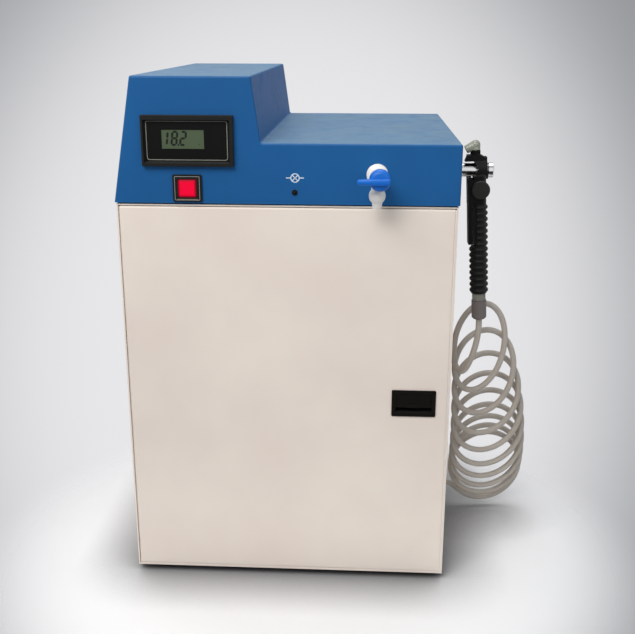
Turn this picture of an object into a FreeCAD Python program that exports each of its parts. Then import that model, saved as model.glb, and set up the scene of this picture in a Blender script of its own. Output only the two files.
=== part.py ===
import FreeCAD, Part
import math
import os

# Ultrapure water system for a lab bench: a painted cabinet with a front door, a blue hood with a tower,
# a tap, and a dispensing gun that hangs on a post and draws its water through a spiral hose.
# Millimetres. While the pieces are made, x = 0 is the cabinet's middle, y = 0 the door's front face and
# z = 0 the surface under the feet. The front looks along -Y. At the end everything is moved so that the
# origin is at the middle of the underside of the whole object, the hose left out.

V = FreeCAD.Vector
X_AXIS = V(1, 0, 0)
Y_AXIS = V(0, 1, 0)
Z_AXIS = V(0, 0, 1)

# Fits and cuts
overrun = 1.0             # how far a cut runs past what it cuts
running_clearance = 0.05  # radial, shaft in hole
sliding_clearance = 0.15  # each side, block in guide
parallel_share = 0.5      # an edge whose direction has more than this of an axis runs along it
hexagon_sides = 6
nearly_zero = 1e-9

# Cabinet
cabinet_width = 362.0
cabinet_depth = 366.0
cabinet_height = 437.0
sheet = 1.5
foot_height = 8.0
foot_radius = 14.0
foot_inset = 34.0
foot_recess_radius = 6.0
foot_recess_depth = 4.0
foot_chamfer = 1.5
panel_setback = 0.5       # side panels and decks behind the door's front face
flange_width = 12.0
tray_lip = 14.0
deck_rear_lip = 15.0
cable_hole_radius = 20.0
tube_hole_radius = 13.0
tube_hole_y = 60.0
vent_count = 9
vent_length = 110.0
vent_height = 4.0
vent_pitch = 13.0
vent_top_drop = 40.0
vent_place_shares = (-0.25, 0.25)
rear_screw_shares = (0.06, 0.5, 0.94)

# Door
door_depth = 18.0
door_sheet = 1.2
door_gap = 1.0
door_edge_radius = 2.0
hinge_return_depth = 13.0
seal_thickness = 1.3
seal_gap = 0.2
seal_width = 9.0
pivot_from_side = 9.0
pivot_from_front = 4.9
pivot_radius = 2.0
pivot_length = 8.0
pivot_collar_radius = 3.5
pivot_axial_gap = 0.1
bush_radius = 3.6
bush_spigot_radius = 3.0
bush_height = 7.0

# Latch in the door
latch_from_right = 40.1
latch_height_above_base = 216.0
latch_bezel_width = 49.0
latch_bezel_height = 31.0
latch_bezel_thickness = 1.4
latch_body_width = 44.0
latch_body_height = 26.0
latch_body_depth = 31.0
latch_wall = 2.0
latch_recess_depth = 14.0
latch_corner_radius = 1.5
paddle_height = 14.0
paddle_thickness = 3.0
paddle_set_in = 0.4
paddle_barrel_radius = 2.3
paddle_tab_width = 16.0
paddle_tab_height = 3.4
paddle_tab_proud = 1.1
paddle_pin_radius = 1.2
paddle_pin_grip = 1.0
bolt_height = 12.0
bolt_thickness = 6.0
bolt_behind_flange = 0.8
bolt_reach = 6.5
bolt_travel = 8.0
bolt_length = 38.0

# Hood
hood_overhang = 1.5
seal_under_hood = 1.6
shelf_rise = 63.5
tower_rise = 130.5
tower_left_lean = 23.0
tower_right_lean = 9.2
tower_foot_from_left = 157.0
hood_edge_radius = 2.5
hood_flange = 12.0
hood_vent_count = 5
hood_vent_drop = 28.0
hood_vent_from_left = 92.0
hood_vent_length = 55.0
hood_screw_shares = (-0.4, 0, 0.4)

# Panel meter
meter_width = 96.0
meter_height = 50.0
meter_from_left = 80.7
meter_rise = 64.7         # middle, above the hood's lower edge
meter_bezel_depth = 6.0
meter_bezel_radius = 3.0
meter_bezel_edge = 1.0
meter_face_width = 88.0
meter_face_height = 42.0
meter_face_depth = 1.0
meter_cutout_width = 92.0
meter_cutout_height = 45.0
meter_body_gap = 0.5
meter_body_depth = 76.0
lcd_width = 44.2
lcd_height = 19.3
lcd_left_offset = 4.4
lcd_up_offset = 2.0
lcd_recess = 0.4

# Lit push button
switch_from_left = 79.3
switch_rise = 16.2
switch_width = 31.0
switch_height = 28.5
switch_bezel_depth = 2.2
switch_corner_radius = 2.0
switch_lip = 1.1
switch_lip_rise = 0.7
switch_body_width = 26.0
switch_body_height = 23.6
switch_body_depth = 30.0
switch_cutout_gap = 0.4
button_width = 19.4
button_height = 18.8
button_proud = 1.0
button_depth = 10.6
button_travel = 3.5
button_gap = 0.25
button_crown = 0.8
switch_tag_width = 4.8
switch_tag_thickness = 0.8
switch_tag_length = 8.0
switch_tag_shares = (-0.25, 0.25)

# Indicator lamp
indicator_x = 9.5
indicator_rise = 12.6
indicator_lens_radius = 2.2
indicator_ring_radius = 3.1
indicator_tube_radius = 2.8
indicator_ring_depth = 0.8
indicator_depth = 10.0

# Tap
tap_x = 95.5
tap_rise = 31.9
tap_flange_radius = 11.3
tap_flange_depth = 3.0
tap_barrel_radius = 7.2
tap_barrel_reach = 33.5
tap_thread_radius = 7.0
tap_thread_length = 14.0
tap_hole_gap = 0.2
tap_bore_radius = 3.5
tap_bore_length = 20.0
tap_spout_setback = 22.5  # spout's axis in front of the hood
tap_spout_radius = 8.5
tap_spout_shoulder = 24.5
tap_spout_taper = 3.0
tap_nozzle_radius = 5.2
tap_spout_drop = 31.0
tap_plug_radius = 5.0
tap_plug_depth = 12.0
tap_handle_radius = 11.0
tap_handle_depth = 10.5
tap_handle_gap = 0.3
tap_handle_crown = 3.0
tap_handle_offset = 2.4
tap_lever_left = 20.5
tap_lever_right = 12.9
tap_lever_height = 5.8
tap_lever_tip_height = 3.0
tap_lever_proud = 3.2
tap_lever_depth = 9.0
tap_lever_rounding = 1.0
tap_nut_flats = 20.0
tap_nut_thickness = 7.0

# Holder post
post_y = 84.0
post_rise = 25.6
post_radius = 7.8
post_length = 36.0
post_cap_radius = 8.4
post_cap_length = 7.0
post_cap_edge = 1.2
post_stud_radius = 4.0
post_stud_length = 12.0
post_nut_flats = 13.0
post_nut_thickness = 6.5

# Dispensing gun, measured from the post's axis, before it leans
gun_from_wall = 27.0
gun_lean_degrees = 3.4
hook_clearance = 0.7
hook_thickness = 6.2
hook_left = 5.8
hook_right = 8.3
hook_waist_left = 1.9
hook_waist_rise = 2.6
hook_foot_left = 4.7
hook_foot_drop = 1.5
hook_leg_drop = 8.0
hook_tip_drop = 13.6
hook_tip_rounding = 2.1
head_rise = 18.0
head_underside = 11.1
head_left = 15.9
head_shoulder_left = 13.5
head_shoulder_rise = 16.3
head_slope_right = 5.9
head_slope_rise = 15.1
head_forward = 9.0
head_depth = 12.0
collar_left = 4.0
collar_forward = 3.0
collar_radius = 5.4
collar_height = 5.0
collar_groove = 0.5
collar_groove_count = 18
nozzle_radius = 5.1
nozzle_bore_radius = 2.8
nozzle_rise = 5.5
nozzle_reach = 12.2
nozzle_tip_radius = 3.0
nozzle_tip_bore_radius = 1.9
nozzle_droop_degrees = 18.5
body_forward = 19.2       # the gun's own axis in front of the post's
body_left = 3.2
body_radius = 8.9
body_side_flat = 5.3
body_face_cut = 1.5
body_top_drop = 3.0
body_bottom_drop = 36.0
pivot_left = 1.45
pivot_drop = 17.6
gun_core_radius = 5.8
grip_bottom_drop = 132.5
grip_valley_radius = 8.9
grip_peak_radius = 10.4
grip_rib_count = 15
grip_rib_shares = (0.2, 0.4, 0.7, 0.9)
grip_flat_from_axis = 2.8
grip_flat_drop = 82.0
trigger_reach = 11.85     # outer face of the lever from the gun's axis
trigger_web = 2.0
trigger_channel_depth = 4.95
trigger_inner_half_width = 6.1
trigger_flange = 1.7
trigger_bottom_drop = 79.0
trigger_top_drop = 4.0
trigger_ear_thickness = 2.0
trigger_ear_radius = 7.0
trigger_ear_bottom_drop = 34.5
trigger_ear_gap = 0.3
bolt_shank_radius = 2.5
bolt_head_radius = 10.1
bolt_head_thickness = 3.2
bolt_head_edge = 1.0
bolt_washer_radius = 5.0
bolt_washer_thickness = 1.0
valve_stem_drop = 29.0
valve_stem_radius = 2.0
valve_stem_depth = 7.0
valve_stem_gap = 0.3
valve_stem_stroke_room = 2.0
end_ring_radius = 7.3
end_ring_height = 13.0
end_ring_edge = 0.5
fitting_radius = 8.4
fitting_height = 22.0
fitting_chamfer = 2.0

# Spiral hose
hose_diameter = 7.0
coil_start_degrees = -24.5
coil_end_degrees = 315.0
coil_full_turns = 8
coil_pitch = 11.2
coil_yaw_degrees = 10.0
coil_lean_degrees = 10.4
coil_lean_turns = 2.5
coil_first_x = 216.6
coil_shift_x = 34.2
coil_shift_turns = 2.86
coil_first_y = 86.0
coil_first_z = 289.3
coil_sag = 252.6
coil_sag_turns = 12.83
coil_sag_lead = 0.2
coil_width_start = 24.5
coil_width_gain = 23.6
coil_width_turns = 2.16
coil_half_height = 46.8
way_step = 0.001          # in turns
arc_share = 0.45          # of the shorter run, from a corner to where its arc starts
gun_tail_first = 15.5
gun_tail_points = [(212.0, 62.8, 262.5), (203.5, 63.2, 241.0), (197.2, 72.8, 235.6)]
gun_tail_last = 12.7
wall_tail_first = 12.7
gap_steps_per_turn = 72

# Hose port in the right side panel
port_flange_radius = 9.5
port_flange_depth = 3.0
port_socket_radius = 6.2
port_socket_length = 9.0
port_thread_radius = 5.0
port_thread_length = 14.0
port_nut_radius = 8.5
port_nut_thickness = 4.0

# Cartridges on their rail
rail_y = 96.0
rail_below_deck = 31.5
rail_width = 70.0
rail_sheet = 2.0
rail_drop = 16.0
cartridge_count = 3
cartridge_side_room = 38.0
cartridge_radius = 43.0
cartridge_floor_gap = 66.5
cartridge_dome = 14.0
cartridge_shoulder_shares = (0.8, 0.35)
cartridge_heel_shares = (0.85, 0.3)
cartridge_foot_share = 0.6
cartridge_neck_radius = 24.0
cartridge_neck_length = 12.0
head_block_width = 64.0
head_block_depth = 52.0
head_block_height = 34.0
head_port_radius = 7.0
head_port_length = 10.0
head_boss_radius = 28.0
head_boss_length = 8.0

# UV chamber
uv_from_left = 63.0
uv_from_rear = 44.0
uv_floor_gap = 60.5
uv_top_gap = 73.5
uv_radius = 25.4
uv_wall = 1.5
uv_cap_height = 16.0
uv_cap_overlap = 8.0
uv_cap_wall = 3.0
uv_port_radius = 6.5
uv_port_length = 14.0
uv_port_inset = 34.0
quartz_radius = 11.5
quartz_wall = 1.2
uv_lamp_radius = 7.5
uv_lamp_pin_radius = 1.2
uv_lamp_pin_length = 6.0
clip_width = 18.0
clip_wall = 2.0
clip_inset = 85.0
clip_base = 44.0

# Pump
pump_from_right = 111.0
pump_from_rear = 104.0
pump_axis_height = 38.0   # above the tray
motor_radius = 27.0
motor_length = 84.0
motor_wall = 2.0
rotor_radius = 18.0
rotor_end_gap = 7.0
rotor_slot_count = 8
rotor_slot_radius = 2.0
rotor_shaft_radius = 3.0
bearing_radius = 8.0
bearing_width = 5.0
pump_head_size = 62.0
pump_head_length = 36.0
pump_head_chamfer = 6.0
pump_pocket_radius = 5.0
pump_pocket_depth = 4.0
pump_port_radius = 6.0
pump_port_length = 12.0
pump_foot_width = 70.0
pump_foot_length = 60.0
pump_foot_thickness = 4.0

# Final filter and resistivity cell
filter_from_right = 63.0
filter_from_rear = 36.0
filter_bottom = 190.0
filter_radius = 25.0
filter_length = 110.0
filter_edge = 5.0
filter_neck_radius = 7.0
filter_neck_length = 16.0
cell_size = 26.0
cell_height = 30.0
probe_radius = 7.0
probe_length = 26.0

# Electrics on the deck, under the hood
supply_from_left = 77.0
supply_y = 196.0
supply_width = 98.0
supply_depth = 130.0
supply_height = 38.0
supply_slot_count = 6
supply_slot_width = 3.0
supply_slot_length = 40.0
supply_slot_depth = 1.0
supply_slot_pitch = 9.0

# Mains inlet, feed inlet and drain in the rear panel
inlet_x = -40.0
inlet_z = 62.0
inlet_flange_width = 48.0
inlet_flange_height = 27.0
inlet_flange_depth = 3.0
inlet_corner_radius = 2.5
inlet_body_width = 27.5
inlet_body_height = 20.0
inlet_body_depth = 24.0
inlet_recess_width = 23.5
inlet_recess_height = 16.0
inlet_recess_depth = 17.0
inlet_pin_width = 4.0
inlet_pin_thickness = 2.0
inlet_pin_length = 12.4
inlet_pin_pitch = 7.0
inlet_pin_rise = 2.0
inlet_tag_length = 8.0
feed_from_right = 121.0
drain_from_right = 69.0
fitting_z = 62.0
feed_tube_diameter = 6.35
feed_tube_clearance = 0.1
fitting_bore_length = 15.0
fitting_body_radius = 7.0
fitting_flange_radius = 10.0
fitting_flange_depth = 4.0
fitting_outside = 16.0
fitting_inside = 20.0

# Screws
screw_radius = 2.0
screw_head_radius = 3.8
screw_head_height = 2.2
screw_length = 8.0
screw_slot = 0.9
screw_slot_depth = 0.8

# Places that follow from the sizes above
cab_left = -cabinet_width / 2
cab_right = cabinet_width / 2
base_top = foot_height + sheet
deck_top = foot_height + cabinet_height
deck_bottom = deck_top - sheet
flange_front = door_depth + seal_thickness + seal_gap
flange_back = flange_front + sheet
rear_flange_front = cabinet_depth - 2 * sheet
door_left = cab_left + sheet + door_gap
door_right = -door_left
door_bottom = base_top + door_gap
door_top = deck_bottom - door_gap
pivot_x = door_left + pivot_from_side
pivot_y = pivot_from_front
latch_x = cab_right - latch_from_right
latch_z = foot_height + latch_height_above_base
hood_left = cab_left - hood_overhang
hood_right = cab_right + hood_overhang
hood_front = -hood_overhang
hood_back = cabinet_depth + sheet
hood_bottom = deck_top + seal_under_hood
shelf_top = hood_bottom + shelf_rise
tower_top = hood_bottom + tower_rise
tower_foot_x = hood_left + tower_foot_from_left
meter_x = hood_left + meter_from_left
meter_z = hood_bottom + meter_rise
switch_x = hood_left + switch_from_left
switch_z = hood_bottom + switch_rise
indicator_z = hood_bottom + indicator_rise
tap_z = hood_bottom + tap_rise
post_z = hood_bottom + post_rise
gun_x = hood_right + gun_from_wall
hood_screw_z = deck_top + seal_under_hood + deck_rear_lip / 2
rail_z = deck_bottom - rail_below_deck
uv_bottom = base_top + uv_floor_gap
uv_top = deck_bottom - uv_top_gap
uv_x = cab_left + uv_from_left
uv_y = cabinet_depth - uv_from_rear
cartridge_pitch = (cabinet_width - cartridge_side_room) / cartridge_count
pump_x = cab_right - pump_from_right
pump_y = cabinet_depth - pump_from_rear
filter_x = cab_right - filter_from_right
filter_y = cabinet_depth - filter_from_rear
supply_x = cab_left + supply_from_left
feed_x = cab_right - feed_from_right
drain_x = cab_right - drain_from_right


def box(x0, x1, y0, y1, z0, z1):
    return Part.makeBox(x1 - x0, y1 - y0, z1 - z0, V(x0, y0, z0))


def rod_x(x0, x1, y, z, radius):
    return Part.makeCylinder(radius, x1 - x0, V(x0, y, z), X_AXIS)


def rod_y(y0, y1, x, z, radius):
    return Part.makeCylinder(radius, y1 - y0, V(x, y0, z), Y_AXIS)


def rod_z(z0, z1, x, y, radius):
    return Part.makeCylinder(radius, z1 - z0, V(x, y, z0), Z_AXIS)


def joined(first, *others):
    return first.multiFuse(list(others)).removeSplitter()


def without(first, *cuts):
    return first.cut(Part.makeCompound(list(cuts)))


def grouped(solids):
    return Part.makeCompound(solids)


def edges_along(shape, axis):
    return [e for e in shape.Edges if abs(e.tangentAt(e.FirstParameter).dot(axis)) > parallel_share]


# Upright rectangle with round corners, drawn out along Y
def rounded_block_y(x, z, width, height, y0, y1, radius):
    block = box(x - width / 2, x + width / 2, y0, y1, z - height / 2, z + height / 2)
    return block.makeFillet(radius, edges_along(block, Y_AXIS))


# Corners of a hexagon of this size across its flats, about its middle
def hexagon_corners(flats):
    corner = flats / math.sqrt(3)
    angles = [2 * math.pi * side / hexagon_sides for side in range(hexagon_sides)]
    return [(corner * math.cos(a), corner * math.sin(a)) for a in angles]


def hexagon_y(x, z, flats, y0, y1):
    points = [V(x + a, y0, z + b) for a, b in hexagon_corners(flats)]
    face = Part.Face(Part.makePolygon(points + points[:1]))
    return face.extrude(V(0, y1 - y0, 0))


def hexagon_x(y, z, flats, x0, x1):
    points = [V(x0, y + a, z + b) for a, b in hexagon_corners(flats)]
    face = Part.Face(Part.makePolygon(points + points[:1]))
    return face.extrude(V(x1 - x0, 0, 0))


# Solid of revolution about a vertical axis from (radius, z) points
def turned_z(profile, x, y):
    points = [V(x + r, y, z) for r, z in profile]
    face = Part.Face(Part.makePolygon(points + points[:1]))
    return face.revolve(V(x, y, 0), Z_AXIS, 360)


# Solid of revolution about an axis along Y from (radius, y) points
def turned_y(profile, x, z):
    points = [V(x + r, y, z) for r, y in profile]
    face = Part.Face(Part.makePolygon(points + points[:1]))
    return face.revolve(V(x, 0, z), Y_AXIS, 360)


# Solid of revolution about an axis along X from (radius, x) points
def turned_x(profile, y, z):
    points = [V(x, y, z + r) for r, x in profile]
    face = Part.Face(Part.makePolygon(points + points[:1]))
    return face.revolve(V(0, y, z), X_AXIS, 360)


def prism_y(points, y0, y1):
    corners = [V(x, y0, z) for x, z in points]
    face = Part.Face(Part.makePolygon(corners + corners[:1]))
    return face.extrude(V(0, y1 - y0, 0))


# The same outline with every side moved inwards; the points run anticlockwise
def inset_outline(points, distance):
    count = len(points)
    lines = []
    for i in range(count):
        (ax, az), (bx, bz) = points[i], points[(i + 1) % count]
        length = math.hypot(bx - ax, bz - az)
        normal = (-(bz - az) / length, (bx - ax) / length)
        lines.append((normal, normal[0] * ax + normal[1] * az + distance))
    inner = []
    for i in range(count):
        (n1, c1), (n2, c2) = lines[i - 1], lines[i]
        det = n1[0] * n2[1] - n1[1] * n2[0]
        inner.append(((c1 * n2[1] - c2 * n1[1]) / det, (n1[0] * c2 - n2[0] * c1) / det))
    return inner


# Straight runs joined by tangent arcs, each as large as its two runs allow
def rounded_route(points, radii_name):
    edges = []
    radii = []
    start = points[0]
    for before, corner, after in zip(points, points[1:], points[2:]):
        back = before - corner
        ahead = after - corner
        run = min(back.Length, ahead.Length)
        turn = math.pi - back.getAngle(ahead)
        back.normalize()
        ahead.normalize()
        reach = arc_share * run
        radius = reach / math.tan(turn / 2)
        radii.append(radius)
        arc_start = corner + back * reach
        arc_end = corner + ahead * reach
        inward = back + ahead
        inward.normalize()
        middle = corner + inward * (radius / math.cos(turn / 2) - radius)
        edges.append(Part.LineSegment(start, arc_start).toShape())
        edges.append(Part.Arc(arc_start, middle, arc_end).toShape())
        start = arc_end
    edges.append(Part.LineSegment(start, points[-1]).toShape())
    wire = Part.Wire(edges)
    print(radii_name, "radii", [round(r, 1) for r in radii], "length", round(wire.Length, 1))
    return wire


# A solid round tube along a wire whose pieces are tangent
def swept_tube(wire, radius, name):
    first = wire.Edges[0]
    direction = first.tangentAt(first.FirstParameter)
    circle = Part.Wire(Part.makeCircle(radius, first.valueAt(first.FirstParameter), direction))
    shell = Part.BRepOffsetAPI.MakePipeShell(wire)
    shell.add(circle, False, False)
    shell.build()
    shell.makeSolid()
    tube = shell.shape()
    expected = math.pi * radius * radius * wire.Length
    print(name, "volume over section times length", round(tube.Volume / expected, 4), tube.isValid())
    return tube


# Two arcs that leave p0 along t0, meet smoothly and arrive at p1 along t1
def biarc(p0, t0, p1, t1):
    across = p1 - p0
    both = t0 + t1
    a = 2 * (t0.dot(t1) - 1)
    b = -2 * across.dot(both)
    c = across.dot(across)
    if abs(a) < nearly_zero:
        reach = -c / b
    else:
        root = math.sqrt(b * b - 4 * a * c)
        reach = min(r for r in ((-b + root) / (2 * a), (-b - root) / (2 * a)) if r > 0)
    q0 = p0 + t0 * reach
    q1 = p1 - t1 * reach
    joint = (q0 + q1) * 0.5
    return [corner_arc(p0, q0, joint), corner_arc(joint, q1, p1)]


# The arc that touches both sides of a corner at start and end
def corner_arc(start, corner, end):
    chord_middle = (start + end) * 0.5
    half_chord = (end - start).Length / 2
    rise = (corner - chord_middle).Length
    side = math.hypot(half_chord, rise)
    sagitta = half_chord * (side - half_chord) / rise
    middle = chord_middle + (corner - chord_middle) * (sagitta / rise)
    return Part.Arc(start, middle, end).toShape()


# Cabinet

def base_tray():
    plate = box(cab_left, cab_right, panel_setback, cabinet_depth, foot_height, base_top)
    lip_top = base_top + tray_lip
    inner_left = cab_left + sheet
    inner_right = cab_right - sheet
    front = box(inner_left + flange_width, inner_right - flange_width,
                flange_front, flange_back, base_top, lip_top)
    rear = box(inner_left + flange_width, inner_right - flange_width,
               rear_flange_front, rear_flange_front + sheet, base_top, lip_top)
    left = box(inner_left, inner_left + sheet, flange_back, rear_flange_front, base_top, lip_top)
    right = box(inner_right - sheet, inner_right, flange_back, rear_flange_front, base_top, lip_top)
    return joined(plate, front, rear, left, right)


# One side wall, with inward flanges behind the door and at the back; side is -1 or 1
def side_panel(side):
    outer = side * cabinet_width / 2
    inner = outer - side * sheet
    edge = inner - side * flange_width
    low, high = sorted((outer, inner))
    wall = box(low, high, panel_setback, cabinet_depth, base_top, deck_bottom)
    low, high = sorted((inner, edge))
    front = box(low, high, flange_front, flange_back, base_top, deck_bottom)
    back = box(low, high, rear_flange_front, rear_flange_front + sheet, base_top, deck_bottom)
    cuts = []
    for x, z in rear_screw_places():
        cuts.append(rod_y(rear_flange_front - overrun, cabinet_depth, x, z, screw_radius))
    if side > 0:
        cuts.append(rod_x(inner - overrun, outer + overrun, port_y, port_z, port_thread_radius))
    return without(joined(wall, front, back), *cuts)


def rear_panel():
    left = cab_left + sheet
    right = cab_right - sheet
    panel = box(left, right, cabinet_depth - sheet, cabinet_depth, base_top, deck_bottom)
    cut_front = cabinet_depth - sheet - overrun
    cut_back = cabinet_depth + overrun
    cuts = []
    for row in range(vent_count):
        z = deck_bottom - vent_top_drop - row * vent_pitch
        for share in vent_place_shares:
            x = share * cabinet_width
            cuts.append(box(x - vent_length / 2, x + vent_length / 2, cut_front, cut_back,
                            z - vent_height / 2, z + vent_height / 2))
    cuts.append(box(inlet_x - inlet_body_width / 2, inlet_x + inlet_body_width / 2, cut_front, cut_back,
                    inlet_z - inlet_body_height / 2, inlet_z + inlet_body_height / 2))
    for x in (feed_x, drain_x):
        cuts.append(rod_y(cut_front, cut_back, x, fitting_z, fitting_body_radius))
    for x, z in rear_screw_places():
        cuts.append(rod_y(cut_front, cut_back, x, z, screw_radius))
    return without(panel, *cuts)


def rear_screw_places():
    inset = sheet + flange_width / 2
    places = []
    for x in (cab_left + inset, cab_right - inset):
        for share in rear_screw_shares:
            places.append((x, base_top + share * (deck_bottom - base_top)))
    return places


def deck_plate():
    plate = box(cab_left, cab_right, panel_setback, cabinet_depth, deck_bottom, deck_top)
    inner_left = cab_left + sheet + flange_width
    front = box(inner_left, -inner_left, flange_front, flange_back, deck_bottom - tray_lip, deck_bottom)
    lip_end = cab_right - hood_flange
    back = box(-lip_end, lip_end, cabinet_depth - sheet, cabinet_depth, deck_top, deck_top + deck_rear_lip)
    cuts = [
        rod_z(deck_bottom - overrun, deck_top + overrun, uv_x, uv_y, cable_hole_radius),
        rod_z(deck_bottom - overrun, deck_top + overrun, tap_x, tube_hole_y, tube_hole_radius),
    ]
    for x in hood_screw_places():
        cuts.append(rod_y(cabinet_depth - sheet - overrun, cabinet_depth + overrun, x, hood_screw_z,
                          screw_radius))
    return without(joined(plate, front, back), *cuts)


def hood_screw_places():
    return [share * cabinet_width for share in hood_screw_shares]


def hood_seal():
    outer = box(cab_left + sheet, cab_right - sheet, hood_front + 2 * sheet, cabinet_depth - 2 * sheet,
                deck_top, hood_bottom)
    inner = box(cab_left + sheet + hood_flange, cab_right - sheet - hood_flange,
                hood_front + 2 * sheet + hood_flange, cabinet_depth,
                deck_top - overrun, hood_bottom + overrun)
    return outer.cut(inner)


def rubber_feet():
    feet = []
    for x in (cab_left + foot_inset, cab_right - foot_inset):
        for y in (foot_inset, cabinet_depth - foot_inset):
            foot = turned_z([(0, foot_recess_depth), (foot_recess_radius, foot_recess_depth),
                             (foot_recess_radius, 0), (foot_radius - foot_chamfer, 0),
                             (foot_radius, foot_chamfer), (foot_radius, foot_height), (0, foot_height)], x, y)
            feet.append(foot)
    return grouped(feet)


# Door

def door_panel():
    front = box(door_left, door_right, 0, door_depth, door_bottom, door_top)
    edges = [e for e in front.Edges if e.BoundBox.YMax < door_sheet / 2]
    shell = front.makeFillet(door_edge_radius, edges + edges_along(front, Y_AXIS))
    hollow = box(door_left + door_sheet, door_right - door_sheet, door_sheet, door_depth + overrun,
                 door_bottom + door_sheet, door_top - door_sheet)
    hinge_corner = box(door_left - overrun, pivot_x, hinge_return_depth, door_depth + overrun,
                       door_bottom - overrun, door_top + overrun)
    latch_hole = box(latch_x - latch_body_width / 2, latch_x + latch_body_width / 2, -overrun,
                     door_sheet + overrun, latch_z - latch_body_height / 2, latch_z + latch_body_height / 2)
    spigots = rod_z(door_bottom - overrun, door_top + overrun, pivot_x, pivot_y, bush_spigot_radius)
    return without(shell, hollow, hinge_corner, latch_hole, spigots)


def door_seal():
    front = flange_front - seal_thickness
    left = cab_left + sheet + flange_width - seal_width
    bottom = base_top + tray_lip - seal_width
    top = deck_bottom - tray_lip + seal_width
    outer = box(left, -left, front, flange_front, bottom, top)
    inner = box(left + seal_width, -left - seal_width, front - overrun, flange_front + overrun,
                bottom + seal_width, top - seal_width)
    return outer.cut(inner)


# Plain bushes in the door's lower and upper edge, hinge side
def door_bushes():
    bushes = []
    for edge, way in ((door_bottom, 1), (door_top, -1)):
        inside = edge + way * door_sheet
        end = inside + way * bush_height
        spigot = rod_z(min(edge, inside), max(edge, inside), pivot_x, pivot_y, bush_spigot_radius)
        body = rod_z(min(inside, end), max(inside, end), pivot_x, pivot_y, bush_radius)
        low, high = sorted((edge - way * overrun, end + way * overrun))
        hole = rod_z(low, high, pivot_x, pivot_y, pivot_radius + running_clearance)
        bushes.append(joined(spigot, body).cut(hole))
    return grouped(bushes)


def door_pivot_pins():
    pins = []
    for face, edge, way in ((base_top, door_bottom, 1), (deck_bottom, door_top, -1)):
        collar_end = edge - way * pivot_axial_gap
        low, high = sorted((face, collar_end))
        collar = rod_z(low, high, pivot_x, pivot_y, pivot_collar_radius)
        low, high = sorted((face, edge + way * pivot_length))
        shaft = rod_z(low, high, pivot_x, pivot_y, pivot_radius)
        pins.append(joined(collar, shaft))
    return grouped(pins)


# Latch

bolt_front = flange_back + bolt_behind_flange
bolt_right = cab_right - sheet - flange_width + bolt_reach


def latch_housing():
    bezel = rounded_block_y(latch_x, latch_z, latch_bezel_width, latch_bezel_height,
                            -latch_bezel_thickness, 0, latch_corner_radius)
    body = box(latch_x - latch_body_width / 2, latch_x + latch_body_width / 2, 0, latch_body_depth,
               latch_z - latch_body_height / 2, latch_z + latch_body_height / 2)
    recess = box(latch_x - latch_body_width / 2 + latch_wall, latch_x + latch_body_width / 2 - latch_wall,
                 -latch_bezel_thickness - overrun, latch_recess_depth,
                 latch_z - latch_body_height / 2 + latch_wall, latch_z + latch_body_height / 2 - latch_wall)
    guide = box(bolt_right - bolt_length - bolt_travel - overrun, cab_right,
                bolt_front - sliding_clearance, bolt_front + bolt_thickness + sliding_clearance,
                latch_z - bolt_height / 2 - sliding_clearance, latch_z + bolt_height / 2 + sliding_clearance)
    half = latch_body_width / 2 - latch_wall + paddle_pin_grip
    pin_hole = rod_x(latch_x - half, latch_x + half, paddle_axis_y, paddle_axis_z,
                     paddle_pin_radius + running_clearance)
    return without(joined(bezel, body), recess, guide, pin_hole)


paddle_axis_y = paddle_set_in + paddle_barrel_radius
paddle_axis_z = latch_z + latch_body_height / 2 - latch_wall - paddle_barrel_radius - sliding_clearance


def latch_paddle():
    half = latch_body_width / 2 - latch_wall - sliding_clearance
    top = paddle_axis_z
    plate = box(latch_x - half, latch_x + half, paddle_set_in, paddle_set_in + paddle_thickness,
                top - paddle_height, top)
    barrel = rod_x(latch_x - half, latch_x + half, paddle_axis_y, paddle_axis_z, paddle_barrel_radius)
    tab = box(latch_x - paddle_tab_width / 2, latch_x + paddle_tab_width / 2,
              paddle_set_in - paddle_tab_proud, paddle_set_in + paddle_thickness,
              top - paddle_height, top - paddle_height + paddle_tab_height)
    reach = half + paddle_pin_grip
    trunnions = rod_x(latch_x - reach, latch_x + reach, paddle_axis_y, paddle_axis_z, paddle_pin_radius)
    return joined(plate, barrel, tab, trunnions)


def latch_bolt():
    bolt = box(bolt_right - bolt_length, bolt_right, bolt_front, bolt_front + bolt_thickness,
               latch_z - bolt_height / 2, latch_z + bolt_height / 2)
    nose = [e for e in bolt.Edges
            if e.BoundBox.XMin > bolt_right - overrun / 2 and e.BoundBox.YMin > bolt_front + overrun / 2]
    return bolt.makeChamfer(bolt_thickness / 2, nose)


# Hood

def hood_outline():
    lean = tower_left_lean
    return [(hood_left, hood_bottom), (hood_right, hood_bottom), (hood_right, shelf_top),
            (tower_foot_x, shelf_top), (tower_foot_x - tower_right_lean, tower_top),
            (hood_left + lean, tower_top)]


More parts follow.
